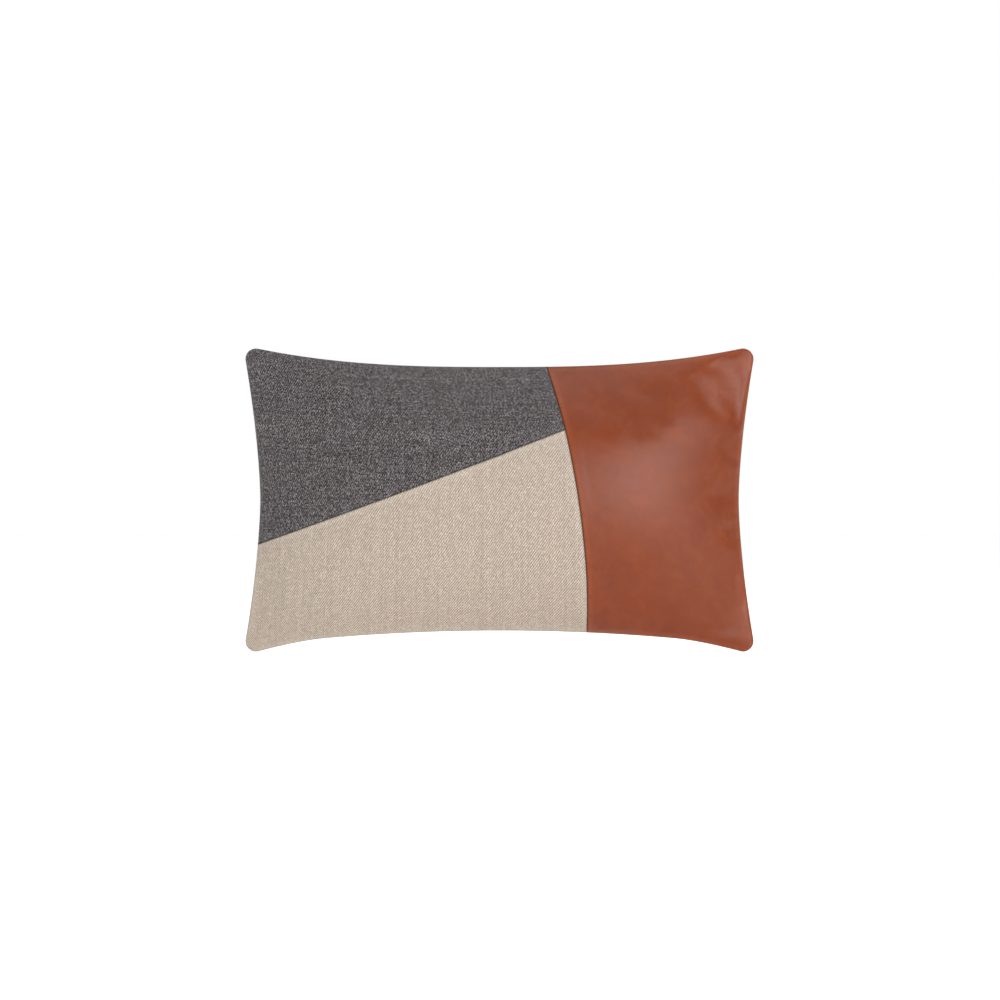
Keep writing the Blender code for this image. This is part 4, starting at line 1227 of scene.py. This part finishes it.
def makePad(name, extraDrop, shrink, material):
    front, back = padGrid(-1, extraDrop, shrink), padGrid(1, extraDrop, shrink)
    rows, columns = front.shape[:2]
    count = rows * columns
    index = np.arange(count).reshape(rows, columns)
    edge = np.zeros((rows, columns), bool)
    edge[[0, -1], :] = edge[:, [0, -1]] = True
    backIndex = np.where(edge, index, index + count)
    points = np.vstack([front.reshape(-1, 3), back.reshape(-1, 3)])
    points[index[edge], 1] = 0.0
    faces = []
    for quad in gridQuads(rows, columns):
        faces.append(quad)
        faces.append([int(backIndex.reshape(-1)[k]) for k in reversed(quad)])
    piece = makeMesh(name, points, faces, material)
    cleanLoose(piece.data)
    return piece


insertCase = makePad("insertCase", 0.0, 0.0, materials["lining"])
fibreFill = makePad("fibreFill", insert["fillDrop"], 0.012, materials["fibre"])
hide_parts("insert_front", "insert_back")
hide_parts("fibre_fill")
for piece, slotName in ((insertCase, "insert_lining"), (fibreFill, "polyester_fibre")):
    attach(piece, "pillow")


def insertRun(fromShare, toShare):
    # along the insert's own seam; shares run once round from the middle of its lower edge
    side, up = 1 - insert["insetAcross"], 1 - insert["insetUp"]
    legs = [(0, -up), (side, -up), (side, up), (-side, up), (-side, -up), (0, -up)]
    u = np.concatenate([np.linspace(a[0], b[0], 60)[:-1] for a, b in zip(legs, legs[1:])] + [[0]])
    v = np.concatenate([np.linspace(a[1], b[1], 60)[:-1] for a, b in zip(legs, legs[1:])] + [[-up]])
    corner = 1 - 0.06 * (np.abs(u) / side) ** 6 * (np.abs(v) / up) ** 6
    x, z = placeOf(u * corner, v * corner)
    path = np.stack([x, np.zeros_like(x), z], 1)
    along = lengthTable(path)
    at = np.linspace(fromShare * along[-1], toShare * along[-1], 400)
    path = np.stack([np.interp(at, along, path[:, k]) for k in range(3)], 1)
    outward = path - np.array([0.0, 0.0, fullHeight / 2])
    outward /= np.linalg.norm(outward, axis=1, keepdims=True)
    return path + outward * 0.0006


insertStitches = stitched("insertSeamStitches", insertRun(0.04, 0.96), (0, 1, 0),
                          materials["whiteThread"])
closingStitches = stitched("insertClosingStitches", insertRun(0.965, 1.0), (0, 1, 0),
                           materials["whiteThread"], rise=0.0006)
for piece, node in ((insertStitches, "insert_seam_thread"),
                    (closingStitches, "insert_closing_stitch")):
    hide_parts(node)
    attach(piece, "pillow")
print("insert made")


# The zip: coils wound as real ones are, and better finishes on the rest

coil = {"height": 0.0016, "pitch": 0.0016, "wire": 0.00026, "perTurn": 10}


def makeCoil(name, node):
    low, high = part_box(node)
    top = high.z - arcCentre
    centreY, halfY = (low.y + high.y) / 2, (high.y - low.y) / 2 - coil["wire"]
    centreR, halfR = top - coil["height"] / 2, coil["height"] / 2 - coil["wire"]
    reach = high.x * 0.999
    turns = 2 * reach / coil["pitch"]
    t = np.linspace(0, 1, int(turns * coil["perTurn"]) + 1)
    spin = t * turns * 2 * math.pi
    radius = centreR + halfR * np.cos(spin)
    angle = (-reach + 2 * reach * t) / arcRadius
    path = np.stack([radius * np.sin(angle), centreY + halfY * np.sin(spin),
                     arcCentre + radius * np.cos(angle)], 1)
    piece = tube(name, path, coil["wire"], materials["coil"])
    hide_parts(node)
    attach(piece, "pillow")
    return piece


makeCoil("zipCoilFront", "zip_coil_front")
makeCoil("zipCoilBack", "zip_coil_back")


def softened(node, width):
    # rounds a CAD piece's sharp edges without touching its mesh
    bevel = node.modifiers.new("softEdges", "BEVEL")
    bevel.width = width
    bevel.segments = 2
    bevel.limit_method = "ANGLE"
    bevel.angle_limit = math.radians(40)


finishes = {
    "zip_tape_front": "tape", "zip_tape_back": "tape", "zip_stitching_front": "thread",
    "zip_stitching_back": "thread", "bar_tack_left": "thread", "bar_tack_right": "thread",
    "zip_top_stop_front": "metal", "zip_top_stop_back": "metal", "zip_bottom_stop": "metal",
    "zip_slider": "metal", "zip_pull_tab": "metal", "care_label": "label",
}
for nodeName, finish in finishes.items():
    node = frame["nodes"][nodeName]
    node.data.materials.clear()
    node.data.materials.append(materials[finish])
for nodeName, width in (("zip_slider", 0.00012), ("zip_pull_tab", 0.00012),
                        ("zip_top_stop_front", 0.0002), ("zip_top_stop_back", 0.0002),
                        ("zip_bottom_stop", 0.0002)):
    softened(frame["nodes"][nodeName], width)
print("zip finished")


# Each cover cloth's flat size, and the flat area it was cut to, worked out and printed


def flatArea(piece):
    mesh = piece.data
    mesh.calc_loop_triangles()
    flat = np.zeros(len(mesh.loops) * 2, np.float32)
    mesh.uv_layers["cloth"].uv.foreach_get("vector", flat)
    flat = flat.reshape(-1, 2)
    index = np.zeros(len(mesh.loop_triangles) * 3, np.int32)
    mesh.loop_triangles.foreach_get("loops", index)
    a, b, c = (flat[index.reshape(-1, 3)[:, k]] for k in range(3))
    cross = (b - a)[:, 0] * (c - a)[:, 1] - (b - a)[:, 1] * (c - a)[:, 0]
    return float(np.abs(cross).sum()) / 4      # half for triangles, half for the two layers


allowance = 0.020             # what the flat cut adds to each size for its turned-in edges
fullestShare = 0.999          # a sheet's area stays under this share of its flat rectangle
for piece in (leatherPatch, charcoalPatch, beigePatch, backCloth):
    width, length = flatSize(piece) + allowance
    area = flatArea(piece) + (width + length) * allowance
    area = min(area, fullestShare * width * length)
    print(piece.name, "flat", round(float(width), 3), round(float(length), 3), "area", round(area, 4))


# Floor, light and camera

studio = {
    "floor": (0.92, 0.92, 0.92), "floorHalf": 9.0, "floorGlow": 0.40, "floorSeen": 0.17,
    "worldLight": 0.46, "worldSeen": 1.0,
    "keyPower": 21, "fillPower": 10, "topPower": 9, "backPower": 15,
    "cameraDistance": 2.361, "lens": 85,
}


def makeFloor():
    half, low = studio["floorHalf"], cadLow.z - 0.0002
    points = np.array([(-half, -half, low), (half, -half, low), (half, half, low), (-half, half, low)])
    material, tree, shader = newMaterial("paleFloor")
    place = objectPlace(tree)
    grainy = noise(tree, place, 500, 2)
    feed(tree, shader.inputs["Base Color"],
         scaled(tree, studio["floor"], remap(tree, grainy, 0.3, 0.7, 0.995, 1.0)))
    shader.inputs["Roughness"].default_value = 0.9
    shader.inputs["Specular IOR Level"].default_value = 0.1
    shader.inputs["Emission Color"].default_value = (1, 1, 1, 1)
    seen = addNode(tree, "ShaderNodeLightPath").outputs["Is Camera Ray"]
    feed(tree, shader.inputs["Emission Strength"],
         calc(tree, "MULTIPLY_ADD", seen, studio["floorSeen"], studio["floorGlow"]))
    floor = makeMesh("floor", points, [[0, 1, 2, 3]], material)


def areaLight(name, place, target, width, height, power):
    light = bpy.data.lights.new(name, "AREA")
    light.shape = "RECTANGLE"
    light.size, light.size_y, light.energy = width, height, power
    lamp = bpy.data.objects.new(name, light)
    lamp.location = place
    lamp.rotation_euler = (Vector(target) - Vector(place)).to_track_quat("-Z", "Y").to_euler()
    bpy.context.scene.collection.objects.link(lamp)


def makeWorld():
    world = bpy.data.worlds.new("studioWorld")
    world.use_nodes = True
    tree = world.node_tree
    background = tree.nodes["Background"]
    background.inputs["Color"].default_value = (1, 1, 1, 1)
    seen = addNode(tree, "ShaderNodeLightPath").outputs["Is Camera Ray"]
    feed(tree, background.inputs["Strength"],
         remap(tree, seen, 0.0, 1.0, studio["worldLight"], studio["worldSeen"]))
    bpy.context.scene.world = world


makeFloor()
makeWorld()
middle = (0.0, 0.0, fullHeight / 2)
areaLight("keySoftbox", (1.00, -1.55, 0.38), (0.14, 0, 0.17), 0.85, 1.45, studio["keyPower"])
areaLight("fillSoftbox", (-1.3, -1.5, 0.45), middle, 1.2, 1.4, studio["fillPower"])
areaLight("topSoftbox", (0.0, -0.2, 2.1), middle, 1.8, 1.4, studio["topPower"])
areaLight("backSoftbox", (1.25, 1.9, 1.3), middle, 0.9, 1.2, studio["backPower"])

bpy.context.scene.view_settings.view_transform = "Standard"
camera = bpy.data.objects.new("camera", bpy.data.cameras.new("camera"))
camera.data.lens = studio["lens"]
camera.data.sensor_width = 36
camera.location = (0.0005, -studio["cameraDistance"], fullHeight / 2)
camera.rotation_euler = (math.pi / 2, 0, 0)
camera.data.clip_end = 60
bpy.context.scene.collection.objects.link(camera)
bpy.context.scene.camera = camera
